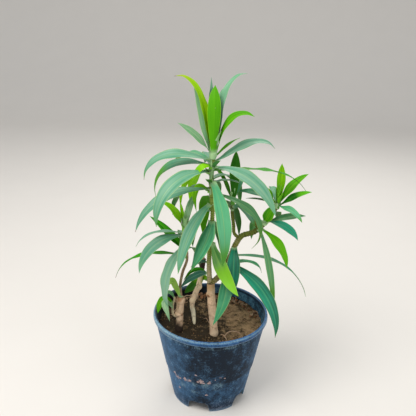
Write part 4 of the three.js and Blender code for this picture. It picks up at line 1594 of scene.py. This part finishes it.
def make_camera():
    """The camera that took the photo."""
    pitch, yaw, roll = (math.radians(angle) for angle in (CAMERA_PITCH, CAMERA_YAW, CAMERA_ROLL))
    forward = Vector((math.sin(yaw) * math.cos(pitch), math.cos(yaw) * math.cos(pitch), -math.sin(pitch)))
    level = Vector((math.cos(yaw), -math.sin(yaw), 0))
    upright = level.cross(forward)
    right = level * math.cos(roll) + upright * math.sin(roll)
    up = upright * math.cos(roll) - level * math.sin(roll)
    data = bpy.data.cameras.new("photo_camera")
    data.sensor_width = SENSOR_WIDTH
    data.lens = FOCAL_PIXELS / FRAME_PIXELS * SENSOR_WIDTH
    camera = linked("photo_camera", data)
    turn = Matrix((right, up, -forward)).transposed().to_4x4()
    camera.matrix_world = Matrix.Translation(AXIS + CAMERA_PLACE) @ turn
    bpy.context.scene.camera = camera


# Operators


class POTPLANT_OT_make_stage(bpy.types.Operator):
    """Makes the floor, the lights and the camera"""

    bl_idname = "potplant.make_stage"
    bl_label = "Make stage"

    def execute(self, context):
        make_floor(context.scene.potplant_stage)
        make_lights(context.scene.potplant_stage)
        make_camera()
        return {"FINISHED"}


class POTPLANT_OT_make_pot(bpy.types.Operator):
    """Makes the nursery pot with its notched foot and drained floor"""

    bl_idname = "potplant.make_pot"
    bl_label = "Make pot"

    def execute(self, context):
        settings = context.scene.potplant_pot
        finish = pot_finish(settings)
        wall = pot_wall(settings, finish)
        plate = new_piece("pot_floor", [], [])
        radius = wall_radius(RAISED_FLOOR) - POT_WALL + 0.6 * MM
        floor_growth().applied(
            plate, Radius=radius, Thickness=FLOOR_THICKNESS, Holes=NOTCHES, Hole_radius=DRAIN_RADIUS,
            Hole_place=DRAIN_PLACE, Turn=math.radians(NOTCH_AZIMUTH), Finish=finish,
        )
        plate.data.transform(Matrix.Translation(AXIS + Vector((0, 0, RAISED_FLOOR))))
        settled(joined("nursery_pot", [wall, plate]), "pot", "pot")
        return {"FINISHED"}


class POTPLANT_OT_make_soil(bpy.types.Operator):
    """Makes the soil, with loose clods, grit and bits of dead leaf on it"""

    bl_idname = "potplant.make_soil"
    bl_label = "Make soil"

    def execute(self, context):
        settings = context.scene.potplant_soil
        body = soil_body(settings, soil_finish("moist_soil", settings, 0.0))
        loose = soil_finish("loose_soil", settings, 0.12)
        growth = scatter_growth()
        clod = clod_mould(1)
        flake = flake_mould()
        dead = litter_finish(settings)
        reach = wall_radius(SOIL_LEVEL) - POT_WALL - 3 * MM
        for name, thing, spacing, least, most, lying, patch, gather, finish in (
            ("soil_clods", clod, settings.clod_spacing, 1.0 * MM, settings.clod_size, 1.0, 0.36, -2.0, loose),
            ("soil_grit", clod, settings.grit_spacing, 0.4 * MM, 1.3 * MM, 1.0, 0.34, -2.0, loose),
            ("leaf_litter", flake, 4 * MM, 6 * MM, 17 * MM, 0.16, 0.14, 1.0, dead),
        ):
            copies = growth.applied(
                linked(name, body.data), Thing=thing, Spacing=spacing, Least=least, Most=most, Reach=reach,
                Lying=lying, Patch=patch, Gather=gather, Seed=settings.seed, Finish=finish,
            )
            settled(copies, "soil")
        for mould in (clod, flake):
            bpy.data.objects.remove(mould)
        settled(body, "soil", "soil")
        return {"FINISHED"}


class POTPLANT_OT_make_canes(bpy.types.Operator):
    """Makes the old cut canes with their bark and cut ends, and the dry twigs and roots"""

    bl_idname = "potplant.make_canes"
    bl_label = "Make canes"

    def execute(self, context):
        settings = context.scene.potplant_stem
        growth = stem_growth()
        ends = {
            "cut": bark_finish("cut_wood", tone(170, 138, 100), tone(58, 42, 30)),
            "dead": bark_finish("dead_wood", tone(66, 50, 40), tone(26, 20, 17)),
        }
        for seed, (node, (kind, flare, patches, knots)) in enumerate(CANES.items()):
            line = limb_line(node)
            foot, radius = line[0]
            buried = (foot - Vector((0, 0, CANE_BURIED)), radius)
            bark = bark_finish(node + "_wood", settings.cane, settings.cane_dark, 0.32, patches)
            piece = chain(node + "_bark", [stem_line([buried] + line, flare, knots)])
            growth.applied(
                piece, Sides=settings.sides, Spacing=settings.cane_ring, Ridge=0.25 * MM, Lump=0.7 * MM,
                Crack=0.25 * MM, Seed=3.7 * seed, Finish=bark,
            )
            settled(piece, "cane", node)
            (below, _), (top, radius) = line[-2:]
            end = cut_end(node + "_cut", top, (top - below).normalized(), radius, ends[kind], seed)
            settled(end, "cane")
        for name, twigs, finish, skin, dark, rings in (
            ("dry_twigs", DRY_TWIGS, "dry_twig", (176, 142, 112), (96, 70, 52), 0.3),
            ("left_twig", [LEFT_TWIG], "pale_twig", (206, 190, 152), (140, 112, 76), 0.4),
            ("cane_knobs", CANE_KNOBS, "knob_wood", (142, 104, 74), (52, 36, 28), 0.5),
        ):
            piece = chain(name, [stem_line(twig_line(twig)) for twig in twigs])
            growth.applied(
                piece, Sides=TWIG_SIDES, Spacing=settings.shoot_ring, Ridge=0.15 * MM, Lump=0.25 * MM,
                Crack=0.0, Seed=8.0, Finish=bark_finish(finish, tone(*skin), tone(*dark), rings),
            )
            settled(piece, "cane")
        return {"FINISHED"}


class POTPLANT_OT_make_shoots(bpy.types.Operator):
    """Makes the younger stems with their rings of leaf scars"""

    bl_idname = "potplant.make_shoots"
    bl_label = "Make shoots"

    def execute(self, context):
        settings = context.scene.potplant_stem
        growth = stem_growth()
        dark = settings.shoot_dark
        main_patches = ((305, 350, (134, 150, 66)), (294, 290, (52, 44, 22)))
        skins = {
            "main": bark_finish("main_stem_skin", settings.shoot, dark, 0.8, main_patches),
            "bough": bark_finish("bough_skin", settings.olive, dark, 0.9, ((350, 390, (104, 112, 44)),)),
            "brown": bark_finish("left_shoot_skin", tone(156, 130, 98), tone(84, 62, 42), 0.6),
        }
        for seed, (node, (parent, ridge, skin)) in enumerate(SHOOTS.items()):
            line = rooted(limb_line(node), limb_line(parent))
            piece = chain(node + "_skin", [stem_line(line)])
            growth.applied(
                piece, Sides=settings.sides, Spacing=settings.shoot_ring, Ridge=ridge * MM,
                Lump=0.8 * MM * ridge, Crack=0.1 * MM, Seed=5.3 * seed + 1, Finish=skins[skin],
            )
            settled(piece, "stem", node)
        return {"FINISHED"}


def grow_leaves(growth, settings, name, lines, finish, wave=1.0):
    """Blades along these lines as one piece."""
    return growth.applied(
        chain(name, lines), Sides=settings.sides, Thickness=settings.thickness, Midrib=settings.midrib,
        Wave=settings.wave * wave, Wave_length=settings.wave_length, Finish=finish,
    )


class POTPLANT_OT_make_hearts(bpy.types.Operator):
    """Makes the rolled young leaves at the tip of each shoot"""

    bl_idname = "potplant.make_hearts"
    bl_label = "Make hearts"

    def execute(self, context):
        settings = context.scene.potplant_leaf
        growth = leaf_growth()
        soft = leaf_finish("heart_leaf", SOFT_HEART[0], **SOFT_HEART[1])
        fresh = leaf_finish("fresh_heart_leaf", FRESH_HEART[0], **FRESH_HEART[1])
        hearts = {"main": (7, soft), "right": (5, fresh), "back": (5, soft), "left": (5, soft)}
        for side, (count, finish) in hearts.items():
            node = side + "_heart"
            lines = heart_lines(node, limb_line(node), count)
            piece = grow_leaves(growth, settings, node + "_leaves", lines, finish, HEART_WAVE)
            settled(piece, "heart", node)
        return {"FINISHED"}


class POTPLANT_OT_make_leaves(bpy.types.Operator):
    """Makes the strap leaves, those of each look in one piece"""

    bl_idname = "potplant.make_leaves"
    bl_label = "Make leaves"

    def execute(self, context):
        settings = context.scene.potplant_leaf
        others = ("leaf_", "pot", "soil")
        limbs = {name: limb_line(name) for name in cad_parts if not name.startswith(others)}
        limbs["left_twig"] = twig_line(LEFT_TWIG)
        seats = list(limbs.values())
        growth = leaf_growth()
        lines = {look: [] for look in LEAF_LOOKS}
        for look, (_, _, leaves) in LEAF_LOOKS.items():
            for leaf in leaves.split():
                ribbon = leaf_ribbon("leaf_" + leaf, seats, LEAF_TURNS.get(leaf, 0))
                dry, turn = DRY_TIPS.get(leaf, 0.0), TIP_TURNS.get(leaf, NO_TIP)
                lines[look].append(blade_line(ribbon, settings.steps, dry=dry, turn=turn))
        for k, (look, limb, z, azimuth, slopes, size, turns) in enumerate(SMALL_LEAVES):
            seat = limb_seat(limbs[limb], z * MM)
            ribbon = grown_ribbon(f"small_{k}", seat, azimuth, slopes, size, **turns)
            lines[look].append(blade_line(ribbon, settings.steps))
        for k, (look, width, facing, places) in enumerate(PLACED_LEAVES):
            centres = [AXIS + Vector(place) * MM for place in places]
            ribbon = placed_ribbon(f"placed_{k}", centres, width * MM, Vector(facing), seats)
            lines[look].append(blade_line(ribbon, settings.steps, turn=PLACED_TURNS.get(look, NO_TIP)))
        for look, (colours, values, leaves) in LEAF_LOOKS.items():
            finish = leaf_finish("leaf_" + look, colours, **values)
            piece = grow_leaves(growth, settings, "leaves_" + look, lines[look], finish)
            slot = "young_leaf" if look in YOUNG_LOOKS else "leaf"
            settled(piece, slot, *("leaf_" + leaf for leaf in leaves.split()))
        return {"FINISHED"}


STEPS = (
    (POTPLANT_OT_make_stage, "potplant_stage"),
    (POTPLANT_OT_make_pot, "potplant_pot"),
    (POTPLANT_OT_make_soil, "potplant_soil"),
    (POTPLANT_OT_make_canes, "potplant_stem"),
    (POTPLANT_OT_make_shoots, None),
    (POTPLANT_OT_make_hearts, None),
    (POTPLANT_OT_make_leaves, "potplant_leaf"),
)
GROUPS = {
    "potplant_stage": StageSettings,
    "potplant_pot": PotSettings,
    "potplant_soil": SoilSettings,
    "potplant_stem": StemSettings,
    "potplant_leaf": LeafSettings,
}


class POTPLANT_PT_panel(bpy.types.Panel):
    """Lists the steps of the plant and their settings"""

    bl_idname = "POTPLANT_PT_panel"
    bl_label = "Potted song of india"
    bl_space_type = "VIEW_3D"
    bl_region_type = "UI"
    bl_category = "Potted plant"

    def draw(self, context):
        for operator, settings in STEPS:
            box = self.layout.box()
            box.operator(operator.bl_idname)
            if settings:
                group = getattr(context.scene, settings)
                for name in group.__annotations__:
                    box.prop(group, name)


CLASSES = [*GROUPS.values(), *(operator for operator, _ in STEPS), POTPLANT_PT_panel]


def register():
    for kind in CLASSES:
        bpy.utils.register_class(kind)
    for name, group in GROUPS.items():
        setattr(bpy.types.Scene, name, bpy.props.PointerProperty(type=group))


def unregister():
    for name in GROUPS:
        delattr(bpy.types.Scene, name)
    for kind in reversed(CLASSES):
        bpy.utils.unregister_class(kind)


def main():
    register()
    for operator, _ in STEPS:
        getattr(bpy.ops.potplant, operator.bl_idname.split(".")[1])()


if __name__ == "__main__":
    main()
